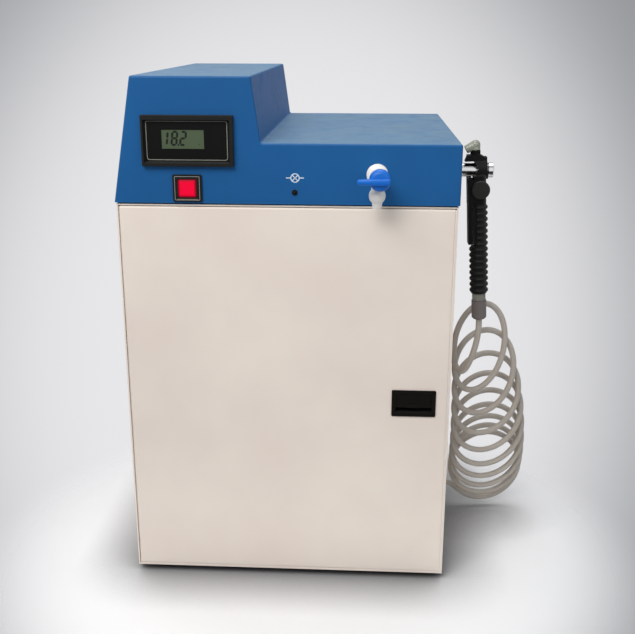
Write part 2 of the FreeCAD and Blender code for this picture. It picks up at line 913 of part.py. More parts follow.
def hood_shell():
    outline = hood_outline()
    outside = prism_y(outline, hood_front, hood_back)
    round_edges = [e for e in outside.Edges if e.BoundBox.ZMax > hood_bottom + overrun]
    outside = outside.makeFillet(hood_edge_radius, round_edges)
    inside = prism_y(inset_outline(outline, sheet), hood_front + sheet, hood_back - sheet)
    mouth = box(hood_left + hood_flange, hood_right - hood_flange, hood_front + hood_flange,
                hood_back - sheet, hood_bottom - overrun, hood_bottom + sheet + overrun)
    front = hood_front - overrun
    back = hood_front + sheet + overrun
    cuts = [
        inside, mouth,
        box(meter_x - meter_cutout_width / 2, meter_x + meter_cutout_width / 2, front, back,
            meter_z - meter_cutout_height / 2, meter_z + meter_cutout_height / 2),
        box(switch_x - switch_body_width / 2 - switch_cutout_gap,
            switch_x + switch_body_width / 2 + switch_cutout_gap, front, back,
            switch_z - switch_body_height / 2 - switch_cutout_gap,
            switch_z + switch_body_height / 2 + switch_cutout_gap),
        rod_y(front, back, indicator_x, indicator_z, indicator_tube_radius),
        rod_y(front, back, tap_x, tap_z, tap_thread_radius + tap_hole_gap),
        rod_x(hood_right - sheet - overrun, hood_right + overrun, post_y, post_z, post_stud_radius),
    ]
    for x in hood_screw_places():
        cuts.append(rod_y(hood_back - sheet - overrun, hood_back + overrun, x, hood_screw_z, screw_radius))
    vent_x = hood_left + hood_vent_from_left
    for row in range(hood_vent_count):
        z = tower_top - hood_vent_drop - row * vent_pitch
        cuts.append(box(vent_x - hood_vent_length / 2, vent_x + hood_vent_length / 2,
                        hood_back - sheet - overrun, hood_back + overrun,
                        z - vent_height / 2, z + vent_height / 2))
    return without(outside, *cuts)


# Panel meter

meter_bezel_front = hood_front - meter_bezel_depth


def meter_bezel():
    outer = rounded_block_y(meter_x, meter_z, meter_width, meter_height,
                            meter_bezel_front, hood_front, meter_bezel_radius)
    front_edges = [e for e in outer.Edges if e.BoundBox.YMax < meter_bezel_front + overrun / 2]
    outer = outer.makeFillet(meter_bezel_edge, front_edges)
    opening = rounded_block_y(meter_x, meter_z, meter_face_width, meter_face_height,
                              meter_bezel_front - overrun, hood_front + overrun, meter_bezel_radius)
    return outer.cut(opening)


def lcd_block(front, back):
    x = meter_x - lcd_left_offset
    z = meter_z + lcd_up_offset
    return box(x - lcd_width / 2, x + lcd_width / 2, front, back, z - lcd_height / 2, z + lcd_height / 2)


def meter_faceplate():
    plate = rounded_block_y(meter_x, meter_z, meter_face_width, meter_face_height,
                            hood_front - meter_face_depth, hood_front, meter_bezel_radius)
    return plate.cut(lcd_block(hood_front - meter_face_depth - overrun, hood_front + overrun))


def meter_display():
    return lcd_block(hood_front - meter_face_depth + lcd_recess, hood_front)


def meter_housing():
    width = meter_cutout_width - 2 * meter_body_gap
    height = meter_cutout_height - 2 * meter_body_gap
    return rounded_block_y(meter_x, meter_z, width, height, hood_front, hood_front + meter_body_depth,
                           meter_bezel_radius)


# Lit push button

def switch_bezel():
    front = hood_front - switch_bezel_depth
    outer = rounded_block_y(switch_x, switch_z, switch_width, switch_height, front, hood_front,
                            switch_corner_radius)
    lip = rounded_block_y(switch_x, switch_z, button_width + 2 * (button_gap + switch_lip),
                          button_height + 2 * (button_gap + switch_lip),
                          front - switch_lip_rise, front + overrun, switch_lip)
    opening = box(switch_x - button_width / 2 - button_gap, switch_x + button_width / 2 + button_gap,
                  front - 2 * overrun, hood_front + overrun,
                  switch_z - button_height / 2 - button_gap, switch_z + button_height / 2 + button_gap)
    return joined(outer, lip).cut(opening)


button_front = hood_front - switch_bezel_depth - switch_lip_rise - button_proud


def switch_button():
    block = box(switch_x - button_width / 2, switch_x + button_width / 2,
                button_front, button_front + button_depth,
                switch_z - button_height / 2, switch_z + button_height / 2)
    rim = [e for e in block.Edges if e.BoundBox.YMax < button_front + overrun / 2]
    return block.makeChamfer(button_crown, rim)


def switch_body():
    width = switch_body_width
    height = switch_body_height
    body = box(switch_x - width / 2, switch_x + width / 2, hood_front, hood_front + switch_body_depth,
               switch_z - height / 2, switch_z + height / 2)
    cavity_back = button_front + button_depth + button_travel + button_gap
    cavity = box(switch_x - button_width / 2 - button_gap, switch_x + button_width / 2 + button_gap,
                 hood_front - overrun, cavity_back,
                 switch_z - button_height / 2 - button_gap, switch_z + button_height / 2 + button_gap)
    tags = []
    back = hood_front + switch_body_depth
    for x_share in switch_tag_shares:
        for z_share in switch_tag_shares:
            x = switch_x + x_share * width
            z = switch_z + z_share * height
            tags.append(box(x - switch_tag_width / 2, x + switch_tag_width / 2, back - overrun,
                            back + switch_tag_length, z - switch_tag_thickness / 2,
                            z + switch_tag_thickness / 2))
    return joined(body, *tags).cut(cavity)


# Indicator lamp

def indicator_holder():
    ring = rod_y(hood_front - indicator_ring_depth, hood_front, indicator_x, indicator_z,
                 indicator_ring_radius)
    tube = rod_y(hood_front, hood_front + indicator_depth, indicator_x, indicator_z, indicator_tube_radius)
    bore = rod_y(hood_front - indicator_ring_depth - overrun, hood_front + indicator_depth + overrun,
                 indicator_x, indicator_z, indicator_lens_radius)
    return joined(ring, tube).cut(bore)


def indicator_lens():
    body = rod_y(hood_front - indicator_ring_depth, hood_front + indicator_depth, indicator_x, indicator_z,
                 indicator_lens_radius)
    dome = Part.makeSphere(indicator_lens_radius, V(indicator_x, hood_front - indicator_ring_depth,
                                                    indicator_z))
    return joined(body, dome)


# Tap

tap_barrel_front = hood_front - tap_barrel_reach
tap_spout_y = hood_front - tap_spout_setback
tap_spout_bottom = tap_z - tap_spout_drop


def tap_body():
    flange = rod_y(hood_front - tap_flange_depth, hood_front, tap_x, tap_z, tap_flange_radius)
    edge = [e for e in flange.Edges if e.BoundBox.YMax < hood_front - tap_flange_depth / 2]
    flange = flange.makeFillet(tap_flange_depth / 2, edge)
    barrel = rod_y(tap_barrel_front, hood_front, tap_x, tap_z, tap_barrel_radius)
    thread = rod_y(hood_front, hood_front + tap_thread_length, tap_x, tap_z, tap_thread_radius)
    shoulder = tap_z - tap_spout_shoulder
    spout = turned_z([(0, tap_z), (tap_barrel_radius, tap_z), (tap_spout_radius, tap_z - tap_barrel_radius),
                      (tap_spout_radius, shoulder), (tap_nozzle_radius, shoulder - tap_spout_taper),
                      (tap_nozzle_radius, tap_spout_bottom), (0, tap_spout_bottom)], tap_x, tap_spout_y)
    spout_bore = rod_z(tap_spout_bottom - overrun, tap_spout_bottom + tap_bore_length, tap_x, tap_spout_y,
                       tap_bore_radius)
    plug_bore = rod_y(tap_barrel_front - overrun, tap_barrel_front + tap_plug_depth + overrun, tap_x, tap_z,
                      tap_plug_radius + running_clearance)
    feed_bore = rod_y(hood_front - tap_flange_depth, hood_front + tap_thread_length + overrun, tap_x, tap_z,
                      tap_bore_radius)
    return without(joined(flange, barrel, thread, spout), spout_bore, plug_bore, feed_bore)


def tap_plug():
    return rod_y(tap_barrel_front - tap_handle_gap, tap_barrel_front + tap_plug_depth, tap_x, tap_z,
                 tap_plug_radius)


def tap_handle():
    back = tap_barrel_front - tap_handle_gap
    front = back - tap_handle_depth
    knob = rod_y(front, back, tap_x + tap_handle_offset, tap_z, tap_handle_radius)
    rim = [e for e in knob.Edges if e.BoundBox.YMax < front + overrun / 2]
    knob = knob.makeFillet(tap_handle_crown, rim)
    half = tap_lever_height / 2
    tip = tap_lever_tip_height / 2
    lever = prism_y([(tap_x - tap_lever_left, tap_z - tip), (tap_x, tap_z - half),
                     (tap_x + tap_lever_right, tap_z - half), (tap_x + tap_lever_right, tap_z + half),
                     (tap_x, tap_z + half), (tap_x - tap_lever_left, tap_z + tip)],
                    front - tap_lever_proud, front - tap_lever_proud + tap_lever_depth)
    ends = [e for e in edges_along(lever, Y_AXIS) if abs(e.BoundBox.XMin - tap_x) > overrun]
    lever = lever.makeFillet(tap_lever_rounding, ends)
    return joined(knob, lever)


def tap_nut():
    front = hood_front + sheet
    nut = hexagon_y(tap_x, tap_z, tap_nut_flats, front, front + tap_nut_thickness)
    hole = rod_y(front - overrun, front + tap_nut_thickness + overrun, tap_x, tap_z, tap_thread_radius)
    return nut.cut(hole)


# Holder post

post_end = hood_right + post_length + post_cap_length


def holder_post():
    rod = rod_x(hood_right, hood_right + post_length, post_y, post_z, post_radius)
    stud = rod_x(hood_right - sheet - post_stud_length, hood_right, post_y, post_z, post_stud_radius)
    cap_start = hood_right + post_length
    cap = turned_x([(0, cap_start), (post_cap_radius - post_cap_edge, cap_start),
                    (post_cap_radius, cap_start + post_cap_edge), (post_cap_radius, post_end - post_cap_edge),
                    (post_cap_radius - post_cap_edge, post_end), (0, post_end)], post_y, post_z)
    return joined(rod, stud, cap)


def post_nut():
    outer = hood_right - sheet
    nut = hexagon_x(post_y, post_z, post_nut_flats, outer - post_nut_thickness, outer)
    hole = rod_x(outer - post_nut_thickness - overrun, outer + overrun, post_y, post_z, post_stud_radius)
    return nut.cut(hole)


# Dispensing gun: made hanging straight down, with the post's axis at its origin, then leaned

gun_axis_x = -body_left
gun_axis_y = -body_forward
pivot_x_in_gun = -pivot_left
body_half = body_radius - body_face_cut
hook_inner = post_radius + hook_clearance
hook_outer = hook_inner + hook_thickness


# From the gun's own coordinates to its place on the post
def hung(shape):
    shape.rotate(V(0, 0, 0), Y_AXIS, -gun_lean_degrees)
    shape.translate(V(gun_x, post_y, post_z))
    return shape


def hung_point(point):
    turn = FreeCAD.Rotation(Y_AXIS, -gun_lean_degrees)
    return turn.multVec(point) + V(gun_x, post_y, post_z)


# Hook over the post, slanted head above it, valve block below it and the core of the grip
def gun_body():
    hook = rod_x(-hook_left, hook_right, 0, 0, hook_outer)
    upper = box(-hook_left, hook_right, -hook_outer, hook_outer, 0, hook_outer)
    leg = box(-hook_left, hook_right, -hook_outer, -hook_inner, -hook_leg_drop, 0)
    tip = box(-hook_left, hook_right, hook_inner, hook_outer, -hook_tip_drop, 0)
    tip = tip.makeFillet(hook_tip_rounding, [e for e in tip.Edges if e.BoundBox.ZMax < -hook_tip_drop / 2])
    side_view = prism_y([(-hook_left, hook_outer), (-hook_left, head_underside),
                         (-hook_waist_left, hook_waist_rise), (-hook_foot_left, -hook_foot_drop),
                         (-hook_foot_left, -hook_tip_drop), (hook_right, -hook_tip_drop),
                         (hook_right, hook_outer)], -hook_outer, hook_outer)
    strap = joined(hook.common(upper), leg, tip).common(side_view)
    head = prism_y([(-head_left, head_underside), (hook_right, head_underside),
                    (hook_right, head_slope_rise), (head_slope_right, head_slope_rise),
                    (collar_radius - collar_left, head_rise), (-head_shoulder_left, head_rise),
                    (-head_shoulder_left, head_shoulder_rise)], -head_forward, -head_forward + head_depth)
    valve = rod_z(-body_bottom_drop, -body_top_drop, gun_axis_x, gun_axis_y, body_radius)
    flats = box(gun_axis_x - body_side_flat, gun_axis_x + body_radius, gun_axis_y - body_half,
                gun_axis_y + body_half, -body_bottom_drop, -body_top_drop)
    core = rod_z(-grip_bottom_drop, -body_bottom_drop, gun_axis_x, gun_axis_y, gun_core_radius)
    bolt_hole = rod_y(gun_axis_y - body_radius, gun_axis_y + body_radius, pivot_x_in_gun, -pivot_drop,
                      bolt_shank_radius)
    stem_hole = rod_x(gun_axis_x - body_radius, gun_axis_x - body_side_flat + valve_stem_depth,
                      gun_axis_y, -valve_stem_drop, valve_stem_radius + running_clearance)
    post_hole = rod_x(-head_left, hook_right + overrun, 0, 0, hook_inner)
    solid = joined(strap, head, valve.common(flats), core)
    return hung(without(solid, bolt_hole, stem_hole, post_hole))


# Ribbed rubber sleeve, flat on the lever's side so that the lever has room to be squeezed
def gun_grip_sleeve():
    top = -body_bottom_drop
    pitch = (grip_bottom_drop - body_bottom_drop) / grip_rib_count
    profile = [(gun_core_radius, -grip_bottom_drop)]
    foot, rise, fall, end = grip_rib_shares
    for rib in range(grip_rib_count):
        low = -grip_bottom_drop + rib * pitch
        profile.append((grip_valley_radius, low))
        profile.append((grip_valley_radius, low + foot * pitch))
        profile.append((grip_peak_radius, low + rise * pitch))
        profile.append((grip_peak_radius, low + fall * pitch))
        profile.append((grip_valley_radius, low + end * pitch))
    profile.append((grip_valley_radius, top))
    profile.append((gun_core_radius, top))
    sleeve = turned_z(profile, gun_axis_x, gun_axis_y)
    flat = box(gun_axis_x - 2 * grip_peak_radius, gun_axis_x - grip_flat_from_axis,
               gun_axis_y - 2 * grip_peak_radius, gun_axis_y + 2 * grip_peak_radius, -grip_flat_drop,
               top + overrun)
    return hung(sleeve.cut(flat))


ear_front = gun_axis_y - body_half - trigger_ear_gap
ear_back = gun_axis_y + body_half + trigger_ear_gap


# Channel-shaped lever with an ear on each side of the valve block
def gun_trigger():
    outer = gun_axis_x - trigger_reach
    edge = outer + trigger_channel_depth
    web = box(outer, outer + trigger_web, gun_axis_y - trigger_inner_half_width,
              gun_axis_y + trigger_inner_half_width, -trigger_bottom_drop, -trigger_top_drop)
    parts = []
    for way in (-1, 1):
        inner_y = gun_axis_y + way * trigger_inner_half_width
        low, high = sorted((inner_y, inner_y + way * trigger_flange))
        parts.append(box(outer, edge, low, high, -trigger_bottom_drop, -trigger_top_drop))
    for low in (ear_front - trigger_ear_thickness, ear_back):
        high = low + trigger_ear_thickness
        parts.append(rod_y(low, high, pivot_x_in_gun, -pivot_drop, trigger_ear_radius))
        parts.append(prism_y([(outer, -trigger_ear_bottom_drop), (edge, -trigger_ear_bottom_drop),
                              (pivot_x_in_gun, -pivot_drop - trigger_ear_radius),
                              (pivot_x_in_gun, -pivot_drop + trigger_ear_radius),
                              (outer, -trigger_top_drop)], low, high))
    hole = rod_y(ear_front - 2 * trigger_ear_thickness, ear_back + 2 * trigger_ear_thickness,
                 pivot_x_in_gun, -pivot_drop, bolt_shank_radius + running_clearance)
    return hung(joined(web, *parts).cut(hole))


# Large round head in front, shank through ears and valve block, retaining washer behind
def gun_pivot_bolt():
    face = ear_front - trigger_ear_thickness - trigger_ear_gap
    front = face - bolt_head_thickness
    head = turned_y([(0, face), (bolt_head_radius, face), (bolt_head_radius, front + bolt_head_edge),
                     (bolt_head_radius - bolt_head_edge, front), (0, front)], pivot_x_in_gun, -pivot_drop)
    end = ear_back + trigger_ear_thickness + trigger_ear_gap
    shank = rod_y(face, end, pivot_x_in_gun, -pivot_drop, bolt_shank_radius)
    washer = rod_y(end, end + bolt_washer_thickness, pivot_x_in_gun, -pivot_drop, bolt_washer_radius)
    return hung(joined(head, shank, washer))


# Starts just clear of the lever's web and runs into the valve block
def gun_valve_stem():
    start = gun_axis_x - trigger_reach + trigger_web + valve_stem_gap
    end = gun_axis_x - body_side_flat + valve_stem_depth - valve_stem_stroke_room
    return hung(rod_x(start, end, gun_axis_y, -valve_stem_drop, valve_stem_radius))


def gun_collar():
    bottom = head_rise
    top = bottom + collar_height
    collar = turned_z([(0, bottom), (collar_radius, bottom), (collar_radius, top - collar_groove),
                       (collar_radius - collar_groove, top), (0, top)], -collar_left, -collar_forward)
    grooves = []
    for step in range(collar_groove_count):
        angle = 2 * math.pi * step / collar_groove_count
        grooves.append(rod_z(bottom + collar_groove, top - 2 * collar_groove,
                             -collar_left + collar_radius * math.cos(angle),
                             -collar_forward + collar_radius * math.sin(angle), collar_groove))
    return hung(without(collar, *grooves))


# Clear knee: a round riser that turns down towards the cabinet in a tapering tip
def gun_nozzle():
    bottom = head_rise + collar_height
    knee = V(-collar_left, -collar_forward, bottom + nozzle_rise)
    droop = math.radians(nozzle_droop_degrees)
    way = V(-math.cos(droop), 0, -math.sin(droop))
    riser = rod_z(bottom, knee.z, knee.x, knee.y, nozzle_radius)
    ball = Part.makeSphere(nozzle_radius, knee)
    tip = Part.makeCone(nozzle_radius, nozzle_tip_radius, nozzle_reach, knee, way)
    riser_bore = rod_z(bottom - overrun, knee.z, knee.x, knee.y, nozzle_bore_radius)
    turn_bore = Part.makeSphere(nozzle_bore_radius, knee)
    tip_bore = Part.makeCone(nozzle_bore_radius, nozzle_tip_bore_radius, nozzle_reach + overrun, knee, way)
    collar_room = rod_z(bottom - collar_height, bottom, knee.x, knee.y, collar_radius)
    return hung(without(joined(riser, ball, tip), riser_bore, turn_bore, tip_bore, collar_room))


def gun_end_ring():
    top = -grip_bottom_drop
    ring = rod_z(top - end_ring_height, top, gun_axis_x, gun_axis_y, end_ring_radius)
    edges = [e for e in ring.Edges if abs(e.BoundBox.ZMax - e.BoundBox.ZMin) < overrun / 2]
    return hung(ring.makeChamfer(end_ring_edge, edges))


def gun_hose_fitting():
    top = -grip_bottom_drop - end_ring_height
    bottom = top - fitting_height
    body = turned_z([(0, top), (fitting_radius, top), (fitting_radius, bottom + fitting_chamfer),
                     (fitting_radius - fitting_chamfer, bottom), (0, bottom)], gun_axis_x, gun_axis_y)
    return hung(body)


# Point on the gun's axis, this far below the end of its hose fitting
def below_gun(distance):
    bottom = -grip_bottom_drop - end_ring_height - fitting_height
    return hung_point(V(gun_axis_x, gun_axis_y, bottom - distance))


# Spiral hose

# Goes from start towards start + change, most of it within scale turns
def settled(start, change, turns, scale):
    return start + change * (1 - math.exp(-turns / scale))


# Middle of the hose after this many turns: ovals that sag, widen and step back as they go
def coil_point(turns):
    hang = (turns + coil_sag_lead) / coil_sag_turns
    middle = V(settled(coil_first_x, coil_shift_x, turns, coil_shift_turns),
               coil_first_y + coil_pitch * turns,
               coil_first_z - coil_sag * (2 * hang - hang * hang))
    yaw = math.radians(coil_yaw_degrees)
    lean = math.radians(coil_lean_degrees) * math.exp(-turns / coil_lean_turns)
    across = V(math.cos(yaw), math.sin(yaw), 0)
    up = V(math.sin(lean), 0, math.cos(lean))
    half_width = settled(coil_width_start, coil_width_gain, turns, coil_width_turns)
    angle = 2 * math.pi * turns + math.radians(coil_start_degrees)
    return middle - across * (half_width * math.cos(angle)) + up * (coil_half_height * math.sin(angle))


coil_turns = coil_full_turns + (coil_end_degrees - coil_start_degrees) / 360


def coil_way(turns):
    way = coil_point(turns + way_step) - coil_point(turns - way_step)
    way.normalize()
    return way


# One unbroken tube; each quarter turn is two arcs, and both ends run straight for one diameter
def hose_coil():
    quarters = round(coil_turns * 4)
    places = [coil_turns * i / quarters for i in range(quarters + 1)]
    points = [coil_point(t) for t in places]
    ways = [coil_way(t) for t in places]
    edges = [Part.LineSegment(coil_start(), points[0]).toShape()]
    for i in range(quarters):
        edges += biarc(points[i], ways[i], points[i + 1], ways[i + 1])
    edges.append(Part.LineSegment(points[-1], coil_end()).toShape())
    report_coil_gap()
    return swept_tube(Part.Wire(edges), hose_diameter / 2, "hose_coil")


def coil_start():
    return coil_point(0) - coil_way(0) * hose_diameter


def coil_end():
    return coil_point(coil_turns) + coil_way(coil_turns) * hose_diameter


def report_coil_gap():
    count = int(coil_turns * gap_steps_per_turn)
    points = [coil_point(coil_turns * i / count) for i in range(count + 1)]
    apart = gap_steps_per_turn // 3
    least = min((points[i] - points[j]).Length
                for i in range(count + 1) for j in range(i + apart, count + 1))
    print("least gap of the coil to itself", round(least - hose_diameter, 2))


# From the gun's fitting down, round towards the cabinet and up into the first turn
def hose_gun_tail():
    points = [below_gun(0), below_gun(gun_tail_first)]
    points += [V(*place) for place in gun_tail_points]
    points += [coil_start() - coil_way(0) * gun_tail_last, coil_start()]
    wire = rounded_route(points, "hose_gun_tail")
    return swept_tube(wire, hose_diameter / 2, "hose_gun_tail")


# The port sits level with the place that the coil's end points at
port_turn = coil_end() + coil_way(coil_turns) * wall_tail_first
port_face_x = cab_right + port_socket_length
port_y = port_turn.y
port_z = port_turn.z


# From the last turn to the port in the right side panel
def hose_wall_tail():
    points = [coil_end(), port_turn, V(port_face_x, port_y, port_z)]
    wire = rounded_route(points, "hose_wall_tail")
    return swept_tube(wire, hose_diameter / 2, "hose_wall_tail")


def hose_port():
    flange = rod_x(cab_right, cab_right + port_flange_depth, port_y, port_z, port_flange_radius)
    socket = rod_x(cab_right, port_face_x, port_y, port_z, port_socket_radius)
    thread = rod_x(cab_right - port_thread_length, cab_right, port_y, port_z, port_thread_radius)
    nut = rod_x(cab_right - sheet - port_nut_thickness, cab_right - sheet, port_y, port_z, port_nut_radius)
    return joined(flange, socket, thread, nut)


# Cartridges

def cartridge_rail():
    left = cab_left + 2 * sheet
    plate = box(left, -left, rail_y - rail_width / 2, rail_y + rail_width / 2, rail_z, rail_z + rail_sheet)
    front = box(left, -left, rail_y - rail_width / 2, rail_y - rail_width / 2 + rail_sheet,
                rail_z - rail_drop, rail_z)
    back = box(left, -left, rail_y + rail_width / 2 - rail_sheet, rail_y + rail_width / 2,
               rail_z - rail_drop, rail_z)
    tabs = []
    for way in (-1, 1):
        low, high = sorted((way * (cab_right - sheet), way * (cab_right - 2 * sheet)))
        tabs.append(box(low, high, rail_y - rail_width / 2, rail_y + rail_width / 2,
                        rail_z - rail_drop, rail_z + rail_sheet))
    return joined(plate, front, back, *tabs)


def cartridge_places():
    return [(i - (cartridge_count - 1) / 2) * cartridge_pitch for i in range(cartridge_count)]


def cartridge_heads():
    heads = []
    for x in cartridge_places():
        block = box(x - head_block_width / 2, x + head_block_width / 2, rail_y - head_block_depth / 2,
                    rail_y + head_block_depth / 2, rail_z - head_block_height, rail_z)
        boss = rod_z(rail_z - head_block_height - head_boss_length, rail_z - head_block_height, x, rail_y,
                     head_boss_radius)
        ports = []
        for way in (-1, 1):
            low, high = sorted((x + way * head_block_width / 2,
                                x + way * (head_block_width / 2 + head_port_length)))
            ports.append(rod_x(low, high, rail_y, rail_z - head_block_height / 2 - head_boss_length / 2,
                               head_port_radius))
        heads.append(joined(block, boss, *ports))
    return grouped(heads)


def cartridge(x):
    top = rail_z - head_block_height - head_boss_length
    shoulder = top - cartridge_neck_length
    bottom = base_top + cartridge_floor_gap
    shoulder_radius, shoulder_drop = cartridge_shoulder_shares
    heel_radius, heel_rise = cartridge_heel_shares
    body = turned_z([(0, top), (cartridge_neck_radius, top), (cartridge_neck_radius, shoulder),
                     (cartridge_radius * shoulder_radius, shoulder - cartridge_dome * shoulder_drop),
                     (cartridge_radius, shoulder - cartridge_dome),
                     (cartridge_radius, bottom + cartridge_dome),
                     (cartridge_radius * heel_radius, bottom + cartridge_dome * heel_rise),
                     (cartridge_radius * cartridge_foot_share, bottom), (0, bottom)], x, rail_y)
    return body


def purification_cartridges():
    return grouped([cartridge(x) for x in cartridge_places()])


# UV chamber

def uv_chamber():
    tube = rod_z(uv_bottom, uv_top, uv_x, uv_y, uv_radius)
    ports = []
    for z in (uv_bottom + uv_port_inset, uv_top - uv_port_inset):
        ports.append(rod_x(uv_x, uv_x + uv_radius + uv_port_length, uv_y, z, uv_port_radius))
    bore = rod_z(uv_bottom - overrun, uv_top + overrun, uv_x, uv_y, uv_radius - uv_wall)
    port_bores = []
    for z in (uv_bottom + uv_port_inset, uv_top - uv_port_inset):
        port_bores.append(rod_x(uv_x, uv_x + uv_radius + uv_port_length + overrun, uv_y, z,
                                uv_port_radius - uv_wall))
    return without(joined(tube, *ports), bore, *port_bores)


def uv_end_caps():
    caps = []
    for end, way in ((uv_bottom, -1), (uv_top, 1)):
        outside = end + way * (uv_cap_height - uv_cap_overlap)
        inside = end - way * uv_cap_overlap
        low, high = sorted((outside, inside))
        cap = rod_z(low, high, uv_x, uv_y, uv_radius + uv_cap_wall)
        low, high = sorted((end, inside - way * overrun))
        socket = rod_z(low, high, uv_x, uv_y, uv_radius)
        low, high = sorted((outside + way * overrun, end - way * overrun))
        sleeve_hole = rod_z(low, high, uv_x, uv_y, quartz_radius)
        caps.append(without(cap, socket, sleeve_hole))
    return grouped(caps)


def quartz_sleeve():
    low = uv_bottom - uv_cap_height + uv_cap_overlap
    high = uv_top + uv_cap_height - uv_cap_overlap
    tube = rod_z(low, high, uv_x, uv_y, quartz_radius)
    return tube.cut(rod_z(low - overrun, high + overrun, uv_x, uv_y, quartz_radius - quartz_wall))


def uv_lamp():
    low = uv_bottom - uv_cap_height + uv_cap_overlap
    high = uv_top + uv_cap_height - uv_cap_overlap
    lamp = rod_z(low, high, uv_x, uv_y, uv_lamp_radius)
    base = rod_z(low, low + uv_cap_overlap, uv_x, uv_y, quartz_radius - quartz_wall)
    top = rod_z(high - uv_cap_overlap, high, uv_x, uv_y, quartz_radius - quartz_wall)
    pins = []
    for way in (-1, 1):
        pins.append(rod_z(high, high + uv_lamp_pin_length, uv_x + way * uv_lamp_radius / 2, uv_y,
                          uv_lamp_pin_radius))
    return joined(lamp, base, top, *pins)


# Clips on the rear panel: two for the UV chamber, one for the final filter
def tube_clips():
    filter_middle = filter_bottom + filter_length / 2
    return grouped([
        tube_clip(uv_x, uv_y, uv_radius, uv_bottom + clip_inset),
        tube_clip(uv_x, uv_y, uv_radius, uv_top - clip_inset),
        tube_clip(filter_x, filter_y, filter_radius, filter_middle)])


def tube_clip(x, y, held_radius, z):
    back = cabinet_depth - sheet
    low = z - clip_width / 2
    high = z + clip_width / 2
    ring = rod_z(low, high, x, y, held_radius + clip_wall)
    leg = box(x - clip_wall, x + clip_wall, y + held_radius, back, low, high)
    base = box(x - clip_base / 2, x + clip_base / 2, back - clip_wall, back, low, high)
    hole = rod_z(low - overrun, high + overrun, x, y, held_radius)
    return joined(ring, leg, base).cut(hole)


# Pump

pump_z = base_top + pump_axis_height
motor_left = pump_x - motor_length / 2
motor_right = pump_x + motor_length / 2


# The motor's can on its foot, with a boss inside each end for the shaft
def pump_motor():
    half_foot = pump_foot_length / 2
    base = box(pump_x - half_foot, pump_x + half_foot, pump_y - pump_foot_width / 2,
               pump_y + pump_foot_width / 2, base_top, base_top + pump_foot_thickness)
    saddle = box(pump_x - half_foot / 2, pump_x + half_foot / 2, pump_y - motor_radius / 2,
                 pump_y + motor_radius / 2, base_top, pump_z - motor_radius / 2)
    can = rod_x(motor_left, motor_right, pump_y, pump_z, motor_radius)
    room = rod_x(motor_left + motor_wall, motor_right - motor_wall, pump_y, pump_z, motor_radius - motor_wall)
    bosses = []
    for low in (motor_left + motor_wall, motor_right - motor_wall - bearing_width):
        bosses.append(rod_x(low, low + bearing_width, pump_y, pump_z, bearing_radius))
    shaft_hole = rod_x(motor_left + motor_wall, motor_right + overrun, pump_y, pump_z,
                       rotor_shaft_radius + running_clearance)
    return joined(joined(base, saddle, can).cut(room), *bosses).cut(shaft_hole)


def pump_rotor():
    start = motor_left + motor_wall + rotor_end_gap
    end = motor_right - motor_wall - rotor_end_gap
    rotor = rod_x(start, end, pump_y, pump_z, rotor_radius)
    shaft = rod_x(motor_left + motor_wall + running_clearance, motor_right + motor_wall, pump_y, pump_z,
                  rotor_shaft_radius)
    slots = []
    for step in range(rotor_slot_count):
        angle = 2 * math.pi * step / rotor_slot_count
        slots.append(rod_x(start - overrun, end + overrun, pump_y + rotor_radius * math.cos(angle),
                           pump_z + rotor_radius * math.sin(angle), rotor_slot_radius))
    return without(joined(rotor, shaft), *slots)


def pump_head():
    half = pump_head_size / 2
    block = box(motor_right, motor_right + pump_head_length, pump_y - half, pump_y + half,
                pump_z - half, pump_z + half)
    block = block.makeChamfer(pump_head_chamfer, edges_along(block, X_AXIS))
    ports = []
    for way in (-1, 1):
        ports.append(rod_z(pump_z + half, pump_z + half + pump_port_length,
                           motor_right + pump_head_length / 2, pump_y + way * half / 2, pump_port_radius))
    pocket = rod_x(motor_right - overrun, motor_right + pump_pocket_depth, pump_y, pump_z,
                   pump_pocket_radius)
    return joined(block, *ports).cut(pocket)


# Final filter and resistivity cell

filter_top = filter_bottom + filter_length


def final_filter():
    low_neck = filter_bottom - filter_neck_length
    high_neck = filter_top + filter_neck_length
    return turned_z([(0, low_neck), (filter_neck_radius, low_neck), (filter_neck_radius, filter_bottom),
                     (filter_radius - filter_edge, filter_bottom),
                     (filter_radius, filter_bottom + filter_edge),
                     (filter_radius, filter_top - filter_edge), (filter_radius - filter_edge, filter_top),
                     (filter_neck_radius, filter_top), (filter_neck_radius, high_neck), (0, high_neck)],
                    filter_x, filter_y)


# Flow cell on top of the filter, its probe looking forward
def resistivity_cell():
    bottom = filter_top + filter_neck_length
    half = cell_size / 2
    block = box(filter_x - half, filter_x + half, filter_y - half, filter_y + half, bottom,
                bottom + cell_height)
    neck = rod_z(bottom + cell_height, bottom + cell_height + filter_neck_length, filter_x, filter_y,
                 filter_neck_radius)
    probe = rod_y(filter_y - half - probe_length, filter_y - half, filter_x, bottom + cell_height / 2,
                  probe_radius)
    return joined(block, neck, probe)


# Electrics under the hood

def power_supply():
    x0 = supply_x - supply_width / 2
    y0 = supply_y - supply_depth / 2
    case = box(x0, x0 + supply_width, y0, y0 + supply_depth, deck_top, deck_top + supply_height)
    slots = []
    top = deck_top + supply_height
    for row in range(supply_slot_count):
        y = supply_y + (row - (supply_slot_count - 1) / 2) * supply_slot_pitch
        slots.append(box(supply_x - supply_slot_length / 2, supply_x + supply_slot_length / 2,
                         y - supply_slot_width / 2, y + supply_slot_width / 2,
                         top - supply_slot_depth, top + overrun))
    return without(case, *slots)


# Mains inlet, feed and drain

